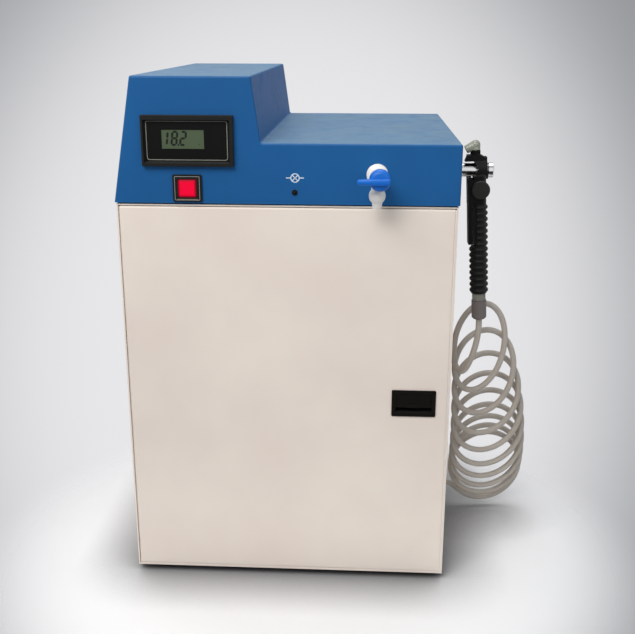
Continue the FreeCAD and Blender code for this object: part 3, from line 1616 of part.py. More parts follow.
def mains_inlet():
    back = cabinet_depth
    flange = rounded_block_y(inlet_x, inlet_z, inlet_flange_width, inlet_flange_height, back,
                             back + inlet_flange_depth, inlet_corner_radius)
    body = box(inlet_x - inlet_body_width / 2, inlet_x + inlet_body_width / 2, back - inlet_body_depth, back,
               inlet_z - inlet_body_height / 2, inlet_z + inlet_body_height / 2)
    face = back + inlet_flange_depth
    recess = box(inlet_x - inlet_recess_width / 2, inlet_x + inlet_recess_width / 2,
                 face - inlet_recess_depth, face + overrun,
                 inlet_z - inlet_recess_height / 2, inlet_z + inlet_recess_height / 2)
    return without(joined(flange, body), recess, *inlet_pin_blocks())


def inlet_pin_blocks():
    face = cabinet_depth + inlet_flange_depth
    floor = face - inlet_recess_depth
    back = cabinet_depth - inlet_body_depth
    pins = []
    for way in (-1, 0, 1):
        x = inlet_x + way * inlet_pin_pitch
        z = inlet_z + (inlet_pin_rise if way == 0 else -inlet_pin_rise)
        pins.append(box(x - inlet_pin_thickness / 2, x + inlet_pin_thickness / 2,
                        back - inlet_tag_length, floor + inlet_pin_length,
                        z - inlet_pin_width / 2, z + inlet_pin_width / 2))
    return pins


def inlet_pins():
    return grouped(inlet_pin_blocks())


# Push-in bulkhead fitting: flange and socket outside, thread with a round nut inside
def bulkhead_fitting(x):
    back = cabinet_depth
    flange = rod_y(back, back + fitting_flange_depth, x, fitting_z, fitting_flange_radius)
    socket = rod_y(back, back + fitting_outside, x, fitting_z, fitting_body_radius)
    thread = rod_y(back - fitting_inside, back, x, fitting_z, fitting_body_radius)
    nut = rod_y(back - sheet - fitting_flange_depth, back - sheet, x, fitting_z, fitting_flange_radius)
    bore = rod_y(back + fitting_outside - fitting_bore_length, back + fitting_outside + overrun, x,
                 fitting_z, (feed_tube_diameter + feed_tube_clearance) / 2)
    return joined(flange, socket, thread, nut).cut(bore)


# Screws

# Slotted pan head screw whose head faces +Y and sits on the plane y
def pan_screw_y(x, y, z):
    head = rod_y(y, y + screw_head_height, x, z, screw_head_radius)
    rim = [e for e in head.Edges if e.BoundBox.YMin > y + screw_head_height / 2]
    head = head.makeFillet(screw_head_height / 2, rim)
    shank = rod_y(y - screw_length, y, x, z, screw_radius)
    slot = box(x - screw_head_radius, x + screw_head_radius, y + screw_head_height - screw_slot_depth,
               y + screw_head_height + overrun, z - screw_slot / 2, z + screw_slot / 2)
    return joined(head, shank).cut(slot)


def case_screws():
    screws = [pan_screw_y(x, cabinet_depth, z) for x, z in rear_screw_places()]
    screws += [pan_screw_y(x, hood_back, hood_screw_z) for x in hood_screw_places()]
    return grouped(screws)


nodes = {
    "base_tray": base_tray(),
    "left_side_panel": side_panel(-1),
    "right_side_panel": side_panel(1),
    "rear_panel": rear_panel(),
    "deck_plate": deck_plate(),
    "rubber_feet": rubber_feet(),
    "hood_shell": hood_shell(),
    "hood_seal": hood_seal(),
    "case_screws": case_screws(),
    "door_panel": door_panel(),
    "door_seal": door_seal(),
    "door_bushes": door_bushes(),
    "door_pivot_pins": door_pivot_pins(),
    "latch_housing": latch_housing(),
    "latch_paddle": latch_paddle(),
    "latch_bolt": latch_bolt(),
    "meter_bezel": meter_bezel(),
    "meter_faceplate": meter_faceplate(),
    "meter_display": meter_display(),
    "meter_housing": meter_housing(),
    "switch_bezel": switch_bezel(),
    "switch_button": switch_button(),
    "switch_body": switch_body(),
    "indicator_holder": indicator_holder(),
    "indicator_lens": indicator_lens(),
    "tap_body": tap_body(),
    "tap_handle": tap_handle(),
    "tap_plug": tap_plug(),
    "panel_nuts": grouped([tap_nut(), post_nut()]),
    "holder_post": holder_post(),
    "gun_body": gun_body(),
    "gun_grip_sleeve": gun_grip_sleeve(),
    "gun_trigger": gun_trigger(),
    "gun_pivot_bolt": gun_pivot_bolt(),
    "gun_valve_stem": gun_valve_stem(),
    "gun_collar": gun_collar(),
    "gun_nozzle": gun_nozzle(),
    "gun_end_ring": gun_end_ring(),
    "gun_hose_fitting": gun_hose_fitting(),
    "hose_gun_tail": hose_gun_tail(),
    "hose_coil": hose_coil(),
    "hose_wall_tail": hose_wall_tail(),
    "hose_port": hose_port(),
    "cartridge_rail": cartridge_rail(),
    "cartridge_heads": cartridge_heads(),
    "purification_cartridges": purification_cartridges(),
    "uv_chamber": uv_chamber(),
    "uv_end_caps": uv_end_caps(),
    "quartz_sleeve": quartz_sleeve(),
    "uv_lamp": uv_lamp(),
    "tube_clips": tube_clips(),
    "pump_motor": pump_motor(),
    "pump_rotor": pump_rotor(),
    "pump_head": pump_head(),
    "final_filter": final_filter(),
    "resistivity_cell": resistivity_cell(),
    "power_supply": power_supply(),
    "mains_inlet": mains_inlet(),
    "inlet_pins": inlet_pins(),
    "bulkhead_fittings": grouped([bulkhead_fitting(feed_x), bulkhead_fitting(drain_x)]),
}

lever_front = tap_barrel_front - tap_handle_gap - tap_handle_depth - tap_lever_proud
rear_end = cabinet_depth + fitting_outside
middle_x = (hood_left + post_end) / 2
middle_y = (lever_front + rear_end) / 2

os.makedirs("parts", exist_ok=True)
for name, shape in nodes.items():
    placed = shape.translated(V(-middle_x, -middle_y, 0))
    placed.exportStep("parts/" + name + ".step")
    if not shape.isValid() or shape.Volume <= 0:
        print(name, "has a fault", shape.isValid(), shape.Volume)
print(len(nodes), "nodes; middle", middle_x, middle_y)
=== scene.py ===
import bpy
import bmesh
import math
from mathutils import Matrix, Vector


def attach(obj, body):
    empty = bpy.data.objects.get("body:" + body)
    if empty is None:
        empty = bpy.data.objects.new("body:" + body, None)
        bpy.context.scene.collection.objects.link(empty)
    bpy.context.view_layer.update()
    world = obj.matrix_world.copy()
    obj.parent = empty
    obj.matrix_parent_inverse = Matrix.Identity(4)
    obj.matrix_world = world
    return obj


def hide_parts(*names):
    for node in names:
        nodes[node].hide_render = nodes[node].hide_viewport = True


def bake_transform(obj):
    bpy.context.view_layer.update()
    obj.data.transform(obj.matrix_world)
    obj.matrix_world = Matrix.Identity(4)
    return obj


# Looks of an ultrapure water system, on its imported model. Metres; the front looks along -Y.
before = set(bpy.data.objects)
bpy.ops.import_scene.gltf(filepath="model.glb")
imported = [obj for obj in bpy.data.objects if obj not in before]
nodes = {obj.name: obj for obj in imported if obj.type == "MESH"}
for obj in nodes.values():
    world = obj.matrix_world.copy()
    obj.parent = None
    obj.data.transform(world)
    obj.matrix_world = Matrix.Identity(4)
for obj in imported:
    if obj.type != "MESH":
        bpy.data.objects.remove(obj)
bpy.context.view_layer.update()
modelShift = Vector((0.0215, 0.1665, 0.0))   # model's origin, in the cabinet's own place


def cabinetPoint(x, y, z):
    return Vector((x, y, z)) - modelShift


def linked(name, data):
    item = bpy.data.objects.new(name, data)
    bpy.context.scene.collection.objects.link(item)
    return item


camera = {
    "place": (0.085904, -0.958048, 0.620612),
    "yaw": 3.13,
    "pitch": -17.24,
    "roll": 0.08,
    "focal": 922.0,   # in pixels of the picture's width
    "width": 635,
    "sensor": 36.0,
}


def makeCamera(values):
    data = bpy.data.cameras.new("camera")
    data.sensor_width = values["sensor"]
    data.lens = values["sensor"] * values["focal"] / values["width"]
    data.clip_end = 50
    item = linked("camera", data)
    yaw, pitch, roll = (math.radians(values[key]) for key in ("yaw", "pitch", "roll"))
    forward = Vector((-math.sin(yaw) * math.cos(pitch), math.cos(yaw) * math.cos(pitch), math.sin(pitch)))
    right = forward.cross(Vector((0, 0, 1))).normalized()
    up = right.cross(forward)
    tiltedRight = right * math.cos(roll) + up * math.sin(roll)
    tiltedUp = up * math.cos(roll) - right * math.sin(roll)
    turn = Matrix((tiltedRight, tiltedUp, -forward)).transposed()
    item.matrix_world = Matrix.Translation(cabinetPoint(*values["place"])) @ turn.to_4x4()
    bpy.context.scene.camera = item


makeCamera(camera)
print("camera made")


class Tree:
    def __init__(self, tree):
        self.tree = tree

    def add(self, kind, inputs=None, **settings):
        node = self.tree.nodes.new(kind)
        for key, value in settings.items():
            setattr(node, key, value)
        for key, value in (inputs or {}).items():
            if isinstance(value, bpy.types.NodeSocket):
                self.tree.links.new(value, node.inputs[key])
            else:
                node.inputs[key].default_value = value
        return node

    def link(self, source, target):
        self.tree.links.new(source, target)

    def math(self, operation, a, b=0.0, clamp=False):
        return self.add("ShaderNodeMath", {0: a, 1: b}, operation=operation, use_clamp=clamp).outputs[0]

    def times(self, a, b, clamp=False):
        return self.math("MULTIPLY", a, b, clamp)

    def spread(self, value, fromMin, fromMax, toMin, toMax):
        return self.add("ShaderNodeMapRange", {"Value": value, "From Min": fromMin, "From Max": fromMax,
                                               "To Min": toMin, "To Max": toMax}).outputs[0]

    def blend(self, share, first, second):
        # colour between two, by a share of 0 to 1
        return self.add("ShaderNodeMix", {0: share, 6: first, 7: second}, data_type="RGBA").outputs[2]

    def noise(self, place, scale, detail, **more):
        inputs = {"Vector": place, "Scale": scale, "Detail": detail}
        inputs.update({key.capitalize(): value for key, value in more.items()})
        return self.add("ShaderNodeTexNoise", inputs).outputs["Fac"]

    def bump(self, height, distance):
        inputs = {"Height": height, "Strength": 1.0, "Distance": distance}
        return self.add("ShaderNodeBump", inputs).outputs[0]

    def use(self, group, **inputs):
        return self.add("ShaderNodeGroup", inputs, node_tree=group).outputs

    def objectPlace(self):
        return self.add("ShaderNodeTexCoord").outputs["Object"]


def groupOf(name, inputs, outputs, kind="ShaderNodeTree"):
    group = bpy.data.node_groups.new(name, kind)
    for label, socketType, value in inputs:
        socket = group.interface.new_socket(label, in_out="INPUT", socket_type=socketType)
        if value is not None:
            socket.default_value = value
    for label, socketType in outputs:
        group.interface.new_socket(label, in_out="OUTPUT", socket_type=socketType)
    tree = Tree(group)
    return group, tree, tree.add("NodeGroupInput"), tree.add("NodeGroupOutput")


effects = {
    "wearNoise": 220.0,
    "wearGain": 14.0,
    "slowNoise": 7.0,
    "speckleNoise": 900.0,
    "smearNoise": 24.0,
    "smearTwist": 1.6,
    "smearBand": (0.52, 0.72),
    "noiseBand": (0.3, 0.7),             # where most of a noise's values lie
    "dustAndSheenNoise": 46.0,
    "dustAndSheenFrom": 0.6,                     # how far a face has to look up before dust and painted sheen lie on it
    "dustAndSheenPatch": (0.3, 0.75, 0.45, 1.0),
}


def edgeWearGroup(values):
    # mask of 1 along sharp edges, broken up by noise
    group, tree, given, result = groupOf(
        "edgeWear",
        [("Width", "NodeSocketFloat", 0.0008), ("Amount", "NodeSocketFloat", 0.5)],
        [("Mask", "NodeSocketFloat")])
    rounded = tree.add("ShaderNodeBevel", {"Radius": given.outputs["Width"]}, samples=4)
    shape = tree.add("ShaderNodeNewGeometry")
    dot = tree.add("ShaderNodeVectorMath", {0: rounded.outputs[0], 1: shape.outputs["Normal"]},
                   operation="DOT_PRODUCT")
    edge = tree.math("SUBTRACT", 1.0, dot.outputs["Value"])
    noise = tree.noise(tree.objectPlace(), values["wearNoise"], 3.0)
    strong = tree.times(edge, values["wearGain"], clamp=True)
    broken = tree.times(strong, noise)
    tree.link(tree.times(broken, given.outputs["Amount"], clamp=True), result.inputs["Mask"])
    return group


def grainGroup(values):
    # fine relief of a sprayed or moulded surface, slow drift, fine speckle and hand smears
    group, tree, given, result = groupOf(
        "surfaceGrain",
        [("Size", "NodeSocketFloat", 0.0012)],
        [("Height", "NodeSocketFloat"), ("Drift", "NodeSocketFloat"), ("Speckle", "NodeSocketFloat"),
         ("Smear", "NodeSocketFloat")])
    place = tree.objectPlace()
    scale = tree.math("DIVIDE", 1.0, given.outputs["Size"])
    slow = tree.noise(place, values["slowNoise"], 3.0, roughness=0.6)
    smear = tree.noise(place, values["smearNoise"], 4.0, distortion=values["smearTwist"])
    tree.link(tree.noise(place, scale, 2.0), result.inputs["Height"])
    tree.link(tree.spread(slow, *values["noiseBand"], 0.0, 1.0), result.inputs["Drift"])
    tree.link(tree.noise(place, values["speckleNoise"], 1.0), result.inputs["Speckle"])
    tree.link(tree.spread(smear, *values["smearBand"], 0.0, 1.0), result.inputs["Smear"])
    return group


def dustAndSheenGroup(values):
    # thin dust that settles on what faces up; where its amount is large, as on the blue hood, it is mostly a
    # painted sheen that lightens up-facing tops
    group, tree, given, result = groupOf(
        "settledDustAndSheen", [("Amount", "NodeSocketFloat", 0.2)], [("Mask", "NodeSocketFloat")])
    shape = tree.add("ShaderNodeNewGeometry")
    level = tree.add("ShaderNodeSeparateXYZ", {0: shape.outputs["Normal"]}).outputs["Z"]
    up = tree.spread(level, values["dustAndSheenFrom"], 1.0, 0.0, 1.0)
    patch = tree.spread(tree.noise(tree.objectPlace(), values["dustAndSheenNoise"], 6.0, roughness=0.7),
                        *values["dustAndSheenPatch"])
    mask = tree.times(tree.times(up, patch), given.outputs["Amount"], clamp=True)
    tree.link(mask, result.inputs["Mask"])
    return group


edgeWear = edgeWearGroup(effects)
surfaceGrain = grainGroup(effects)
settledDustAndSheen = dustAndSheenGroup(effects)
print("surface effects made")


def linear(red, green, blue):
    # screen colour 0..255 to a shader's linear colour
    def one(value):
        value = value / 255
        return value / 12.92 if value <= 0.04045 else ((value + 0.055) / 1.055) ** 2.4
    return (one(red), one(green), one(blue), 1.0)


plainFinish = {
    "rough": 0.5, "specular": 0.3, "grain": 0.0005, "relief": 0.00003, "wear": 0.2, "wearWidth": 0.0006,
    "dustAndSheen": 0.04, "dustAndSheenTint": (176, 178, 178), "roughBand": (-0.05, 0.07), "smear": 0.06,
}

finishes = {   # each says what differs from the plain one
    # on the blue powder coat the large dust amount and greenish tint mostly paint a lighter sheen on
    # up-facing tops
    "bluePowder": {"colour": (18, 90, 150), "dark": (15, 82, 138), "worn": (92, 140, 182),
                   "specular": 0.24, "grain": 0.0018, "relief": 0.0001, "wear": 0.45,
                   "wearWidth": 0.0013, "dustAndSheen": 0.44, "dustAndSheenTint": (146, 170, 160)},
    "creamPowder": {"colour": (238, 228, 217), "dark": (231, 218, 208), "worn": (243, 240, 236),
                    "rough": 0.44, "grain": 0.0014, "relief": 0.00004, "wear": 0.5, "wearWidth": 0.0009,
                    "dustAndSheen": 0.05},
    "blackPlastic": {"colour": (25, 27, 25), "dark": (19, 20, 19), "worn": (62, 62, 60), "rough": 0.42,
                     "specular": 0.2, "grain": 0.0006, "wear": 0.4, "dustAndSheen": 0.05},
    "latchPlastic": {"colour": (17, 14, 11), "dark": (13, 11, 8), "worn": (46, 41, 36), "rough": 0.48,
                     "specular": 0.12, "grain": 0.0006, "wear": 0.35},
    "gunPlastic": {"colour": (15, 15, 16), "dark": (11, 11, 12), "worn": (44, 44, 46), "rough": 0.46,
                   "specular": 0.14, "grain": 0.0007, "relief": 0.00004, "wear": 0.22},
    "discPlastic": {"colour": (38, 39, 36), "dark": (30, 31, 28), "worn": (66, 66, 64), "specular": 0.25,
                    "grain": 0.0007, "relief": 0.00004, "wear": 0.3},
    "sleeveRubber": {"colour": (19, 19, 19), "dark": (13, 13, 13), "worn": (48, 48, 48),
                     "specular": 0.24, "relief": 0.00005, "dustAndSheen": 0.06},
    "sealRubber": {"colour": (22, 22, 23), "dark": (16, 16, 17), "worn": (44, 44, 44), "rough": 0.75,
                   "specular": 0.2, "grain": 0.0008, "relief": 0.00006, "dustAndSheen": 0.06},
    "whitePlastic": {"colour": (218, 224, 226), "dark": (206, 212, 214), "worn": (236, 238, 238),
                     "rough": 0.36, "specular": 0.4, "grain": 0.0009, "relief": 0.00002, "dustAndSheen": 0.06},
    "paleRubber": {"colour": (196, 190, 182), "dark": (186, 179, 171), "worn": (214, 209, 202),
                   "rough": 0.7, "specular": 0.2, "grain": 0.0008, "relief": 0.00005},
    "tapWhite": {"colour": (240, 238, 234), "dark": (230, 226, 221), "worn": (250, 250, 250),
                 "rough": 0.34, "specular": 0.4, "grain": 0.0009, "relief": 0.00002},
    "tapBlue": {"colour": (6, 108, 206), "dark": (4, 96, 190), "worn": (64, 154, 226), "rough": 0.36,
                "specular": 0.35, "grain": 0.0009, "relief": 0.00002, "wear": 0.3},
    "ringGrey": {"colour": (150, 149, 140), "dark": (126, 125, 117), "worn": (176, 175, 166),
                 "wear": 0.4, "wearWidth": 0.0005},
    "fittingGrey": {"colour": (127, 119, 118), "dark": (110, 103, 102), "worn": (150, 144, 141),
                    "rough": 0.52, "grain": 0.0007, "wear": 0.35},
    "cartridgeWhite": {"colour": (228, 231, 232), "dark": (218, 222, 224), "worn": (242, 243, 244),
                       "rough": 0.36, "specular": 0.4, "grain": 0.0012, "relief": 0.00002,
                       "wearWidth": 0.0008, "dustAndSheen": 0.05},
    "cartridgeBand": {"colour": (56, 112, 168), "dark": (48, 100, 154), "worn": (110, 152, 192),
                      "grain": 0.001, "relief": 0.00001, "wearWidth": 0.0005, "dustAndSheen": 0.03},
    "headBlue": {"colour": (44, 96, 150), "dark": (36, 84, 136), "worn": (92, 140, 188), "rough": 0.42,
                 "specular": 0.35, "grain": 0.001, "wear": 0.3, "wearWidth": 0.0008, "dustAndSheen": 0.06},
    "motorGrey": {"colour": (70, 73, 76), "dark": (60, 63, 66), "worn": (130, 132, 134), "rough": 0.48,
                  "grain": 0.0012, "relief": 0.00004, "wear": 0.4, "wearWidth": 0.0008, "dustAndSheen": 0.12},
    "filterWhite": {"colour": (222, 224, 226), "dark": (210, 213, 216), "worn": (238, 239, 240),
                    "rough": 0.38, "specular": 0.4, "grain": 0.0012, "relief": 0.00002,
                    "wearWidth": 0.0008, "dustAndSheen": 0.05},
    "displayGreen": {"colour": (80, 94, 70), "dark": (72, 86, 63), "worn": (80, 94, 70), "rough": 0.34,
                     "grain": 0.0004, "relief": 0.000004, "wear": 0.0, "wearWidth": 0.0004, "dustAndSheen": 0.0},
    "digitBlack": {"colour": (20, 25, 19), "dark": (15, 20, 14), "worn": (20, 25, 19), "rough": 0.4,
                   "grain": 0.0004, "relief": 0.000004, "wear": 0.0, "wearWidth": 0.0004, "dustAndSheen": 0.0},
    "meterFilm": {"colour": (13, 14, 13), "dark": (10, 11, 10), "worn": (30, 32, 31), "rough": 0.36,
                  "specular": 0.12, "relief": 0.00001, "wear": 0.1, "wearWidth": 0.0004, "dustAndSheen": 0.0},
    "printGrey": {"colour": (142, 144, 136), "dark": (122, 124, 116), "worn": (142, 144, 136),
                  "specular": 0.25, "grain": 0.0004, "relief": 0.000004, "wear": 0.0,
                  "wearWidth": 0.0004, "dustAndSheen": 0.0},
    # grey that paints a highlight along the switch frame's edge
    "rimHighlightGrey": {"colour": (150, 152, 150), "dark": (126, 128, 126), "worn": (170, 172, 170),
                "rough": 0.4, "specular": 0.35, "relief": 0.00001, "wearWidth": 0.0003, "dustAndSheen": 0.0},
    # brown that paints a reflection on a bar under the switch's lens
    "reflectionBarBrown": {"colour": (146, 122, 104), "dark": (112, 90, 76), "worn": (170, 148, 130),
                  "rough": 0.34, "specular": 0.4, "relief": 0.00001, "wearWidth": 0.0003, "dustAndSheen": 0.0},
    "printWhite": {"colour": (214, 224, 234), "dark": (196, 208, 220), "worn": (214, 224, 234),
                   "grain": 0.0004, "relief": 0.000004, "wear": 0.0, "wearWidth": 0.0004, "dustAndSheen": 0.0},
}

plainMetal = {"rough": 0.3, "drift": 0.12, "stretch": (1.0, 1.0, 1.0), "relief": 0.00001, "dull": 0.82}

metals = {
    "chrome": {"colour": (226, 227, 228), "rough": 0.13, "drift": 0.06, "scale": 500.0, "relief": 0.000004},
    "zincSteel": {"colour": (178, 181, 184), "rough": 0.32, "scale": 260.0},
    "brushedSteel": {"colour": (192, 193, 192), "rough": 0.26, "stretch": (1.0, 1.0, 30.0), "scale": 90.0},
    "brass": {"colour": (196, 160, 96), "drift": 0.1, "scale": 200.0},
}

plainClear = {
    "ior": 1.46, "cloud": 0.0, "specular": 0.5, "dull": 0.88, "roughBand": (0.0, 0.06), "grain": 0.002,
    "relief": 0.00003, "scatter": (0.003, 0.0027, 0.0024),
}

clearStuffs = {
    "milkyHose": {"colour": (208, 200, 190), "rough": 0.36, "through": 0.18, "ior": 1.42, "cloud": 0.25,
                  "specular": 0.4},
    "smokyNozzle": {"colour": (176, 180, 164), "rough": 0.24, "through": 0.36, "ior": 1.45, "cloud": 0.1},
    "quartz": {"colour": (250, 252, 252), "rough": 0.02, "through": 1.0},
    "lampGlass": {"colour": (236, 238, 242), "rough": 0.12, "through": 0.6},
}

plainGlow = {"specular": 0.12, "roughBand": (-0.05, 0.05), "grain": 0.001, "relief": 0.00002, "rimTo": 0.97}

glowing = {   # centre and half size of the lens, and where its rim starts, as a share of the half size
    "switchRed": {"colour": (96, 0, 14), "dark": (84, 0, 10), "glow": (248, 0, 56), "rimGlow": (96, 2, 14),
                  "strength": 0.86, "rough": 0.45, "centre": (-0.1247, -0.1710, 0.4628),
                  "half": (0.0097, 0.0094), "rimFrom": 0.70},
    "indicatorRed": {"colour": (20, 17, 14), "dark": (14, 12, 9), "glow": (60, 8, 6), "rimGlow": (20, 4, 3),
                     "strength": 0.02, "rough": 0.3, "centre": (-0.012, -0.1710, 0.4592),
                     "half": (0.0022, 0.0022), "rimFrom": 0.5},
}


def blankMaterial(name, inputs):
    material = bpy.data.materials.new(name)
    material.use_nodes = True
    shader = material.node_tree.nodes["Principled BSDF"]
    for key, value in inputs.items():
        shader.inputs[key].default_value = value
    return material, Tree(material.node_tree), shader


def coat(tree, shader, colour, rough, normal):
    tree.link(colour, shader.inputs["Base Color"])
    tree.link(rough, shader.inputs["Roughness"])
    tree.link(normal, shader.inputs["Normal"])


def roughFrom(tree, source, values):
    low, high = values["roughBand"]
    return tree.spread(source, *effects["noiseBand"], values["rough"] + low, values["rough"] + high)


def brightAndDull(values):
    bright = linear(*values["colour"])
    return bright, tuple(channel * values["dull"] for channel in bright[:3]) + (1.0,)


def sprayed(name, values):
    # paint, plastic or rubber: drift in colour, fine relief, worn edges, dust on what faces up (on the blue
    # hood mostly a painted sheen) and hand smears
    material, tree, shader = blankMaterial(name, {"Specular IOR Level": values["specular"]})
    grain = tree.use(surfaceGrain, Size=values["grain"])
    wear = tree.use(edgeWear, Width=values["wearWidth"], Amount=values["wear"])
    dustAndSheen = tree.use(settledDustAndSheen, Amount=values["dustAndSheen"])
    colour = tree.blend(grain["Drift"], linear(*values["dark"]), linear(*values["colour"]))
    # lighter on what faces up: thin dust, and a painted sheen where the amount is large
    withDustAndSheen = tree.blend(dustAndSheen["Mask"], colour, linear(*values["dustAndSheenTint"]))
    edged = tree.blend(wear["Mask"], withDustAndSheen, linear(*values["worn"]))
    smeared = tree.math("ADD", roughFrom(tree, grain["Speckle"], values),
                        tree.times(grain["Smear"], values["smear"]))
    coat(tree, shader, edged, smeared, tree.bump(grain["Height"], values["relief"]))
    return material


def metal(name, values):
    material, tree, shader = blankMaterial(name, {"Metallic": 1.0})
    place = tree.objectPlace()
    brushed = tree.add("ShaderNodeMapping", {"Vector": place, "Scale": values["stretch"]}).outputs[0]
    noise = tree.noise(brushed, values["scale"], 4.0)
    slow = tree.noise(place, 30.0, 2.0)
    bright, dull = brightAndDull(values)
    rough = tree.spread(noise, *effects["noiseBand"], values["rough"], values["rough"] + values["drift"])
    coat(tree, shader, tree.blend(slow, dull, bright), rough, tree.bump(noise, values["relief"]))
    return material


def clear(name, values):
    # clear or milky plastic and glass
    material, tree, shader = blankMaterial(name, {
        "Transmission Weight": values["through"], "IOR": values["ior"], "Subsurface Weight": values["cloud"],
        "Specular IOR Level": values["specular"], "Subsurface Radius": values["scatter"]})
    grain = tree.use(surfaceGrain, Size=values["grain"])
    bright, dull = brightAndDull(values)
    coat(tree, shader, tree.blend(grain["Drift"], dull, bright), roughFrom(tree, grain["Speckle"], values),
         tree.bump(grain["Height"], values["relief"]))
    return material


def lit(name, values):
    # plastic lens with a lamp behind it; it darkens towards its rim
    material, tree, shader = blankMaterial(name, {"Specular IOR Level": values["specular"],
                                                  "Emission Strength": values["strength"]})
    grain = tree.use(surfaceGrain, Size=values["grain"])
    colour = tree.blend(grain["Drift"], linear(*values["dark"]), linear(*values["colour"]))
    coat(tree, shader, colour, roughFrom(tree, grain["Speckle"], values),
         tree.bump(grain["Height"], values["relief"]))
    middle = tree.add("ShaderNodeMapping", {"Vector": tree.objectPlace(),
                                            "Location": [-part for part in values["centre"]]}).outputs[0]
    apart = tree.add("ShaderNodeSeparateXYZ", {0: middle}).outputs
    across = tree.math("DIVIDE", tree.math("ABSOLUTE", apart["X"]), values["half"][0])
    upright = tree.math("DIVIDE", tree.math("ABSOLUTE", apart["Z"]), values["half"][1])
    rim = tree.spread(tree.math("MAXIMUM", across, upright), values["rimFrom"], values["rimTo"], 0.0, 1.0)
    glow = tree.blend(rim, linear(*values["glow"]), linear(*values["rimGlow"]))
    tree.link(glow, shader.inputs["Emission Color"])
    return material


materials = {}
for maker, plain, table in ((sprayed, plainFinish, finishes), (metal, plainMetal, metals),
                            (clear, plainClear, clearStuffs), (lit, plainGlow, glowing)):
    materials.update({name: maker(name, {**plain, **values}) for name, values in table.items()})

nodeFinish = {
    "bluePowder": ["hood_shell"],
    "creamPowder": ["door_panel", "left_side_panel", "right_side_panel", "rear_panel", "base_tray",
                    "deck_plate"],
    "sealRubber": ["rubber_feet", "hood_seal"],
    "paleRubber": ["door_seal"],
    "blackPlastic": ["meter_bezel", "meter_housing", "switch_bezel", "switch_body", "indicator_holder",
                     "mains_inlet"],
    "latchPlastic": ["latch_housing", "latch_paddle"],
    "meterFilm": ["meter_faceplate"],
    "displayGreen": ["meter_display"],
    "switchRed": ["switch_button"],
    "indicatorRed": ["indicator_lens"],
    "tapWhite": ["tap_body", "tap_plug"],
    "whitePlastic": ["door_bushes", "bulkhead_fittings", "hose_port"],
    "tapBlue": ["tap_handle"],
    "chrome": ["holder_post"],
    "zincSteel": ["case_screws", "panel_nuts", "door_pivot_pins", "latch_bolt", "cartridge_rail",
                  "power_supply", "gun_valve_stem"],
    "gunPlastic": ["gun_body", "gun_trigger", "gun_collar"],
    "discPlastic": ["gun_pivot_bolt"],
    "sleeveRubber": ["gun_grip_sleeve"],
    "ringGrey": ["gun_end_ring"],
    "fittingGrey": ["gun_hose_fitting"],
    "smokyNozzle": ["gun_nozzle"],
    "brushedSteel": ["uv_chamber", "tube_clips", "pump_rotor"],
    "headBlue": ["cartridge_heads", "uv_end_caps"],
    "cartridgeWhite": ["purification_cartridges"],
    "quartz": ["quartz_sleeve"],
    "lampGlass": ["uv_lamp"],
    "motorGrey": ["pump_motor"],
    "filterWhite": ["final_filter", "resistivity_cell", "pump_head"],
    "brass": ["inlet_pins"],
}
for finish, names in nodeFinish.items():
    for name in names:
        mesh = nodes[name].data
        mesh.materials.clear()
        mesh.materials.append(materials[finish])
print("finishes on", sum(len(names) for names in nodeFinish.values()), "nodes")


hose = {
    "diameter": 0.007,
    "startDegrees": -24.5,
    "endDegrees": 315.0,
    "fullTurns": 8,
    "pitch": 0.0112,
    "yawDegrees": 10.0,
    "leanDegrees": 10.4,
    "leanTurns": 2.5,
    "firstX": 0.2166,
    "shiftX": 0.0342,
    "shiftTurns": 2.86,
    "firstY": 0.086,
    "firstZ": 0.2893,
    "sag": 0.2526,
    "sagTurns": 12.83,
    "sagLead": 0.2,
    "widthStart": 0.0245,
    "widthGain": 0.0236,
    "widthTurns": 2.16,
    "halfHeight": 0.0468,
    "endLead": 0.0127,     # from each end of the coil to the next point of the route
    "gunTail": [(0.1972, 0.0728, 0.2356), (0.2035, 0.0632, 0.2410), (0.2120, 0.0628, 0.2625)],
    "belowGun": 0.0155,
    "portFace": 0.190,
    "pointsPerTurn": 24,
    "sides": 6,
    "steps": 5,
    "nudge": 0.001,        # in turns, for the way along the coil
    "bendHeight": 0.25,
    "bendStart": 0.0785,   # between these depths the tail bends from the cabinet to the gun
    "bendEnd": 0.0660,
}

gunHang = {
    "place": (0.2095, 0.084, 0.4722),   # middle of the holder post inside the hook
    "lean": -3.4,
    "axis": (-0.0032, -0.0192),         # the grip's own axis
    "fittingEnd": -0.1675,
}


def hungMatrix():
    # place and lean of the gun on its post
    lean = Matrix.Rotation(math.radians(gunHang["lean"]), 4, "Y")
    return Matrix.Translation(cabinetPoint(*gunHang["place"])) @ lean


def belowGun(distance):
    return hungMatrix() @ Vector((*gunHang["axis"], gunHang["fittingEnd"] - distance))


def settled(start, change, turns, scale):
    return start + change * (1 - math.exp(-turns / scale))


def coilPoint(turns, values):
    hang = (turns + values["sagLead"]) / values["sagTurns"]
    middle = Vector((settled(values["firstX"], values["shiftX"], turns, values["shiftTurns"]),
                     values["firstY"] + values["pitch"] * turns,
                     values["firstZ"] - values["sag"] * (2 * hang - hang * hang)))
    yaw = math.radians(values["yawDegrees"])
    lean = math.radians(values["leanDegrees"]) * math.exp(-turns / values["leanTurns"])
    across = Vector((math.cos(yaw), math.sin(yaw), 0))
    up = Vector((math.sin(lean), 0, math.cos(lean)))
    halfWidth = settled(values["widthStart"], values["widthGain"], turns, values["widthTurns"])
    angle = 2 * math.pi * turns + math.radians(values["startDegrees"])
    place = middle - across * (halfWidth * math.cos(angle)) + up * (values["halfHeight"] * math.sin(angle))
    return place - modelShift


def coilWay(turns, values):
    nudge = values["nudge"]
    return (coilPoint(turns + nudge, values) - coilPoint(turns - nudge, values)).normalized()


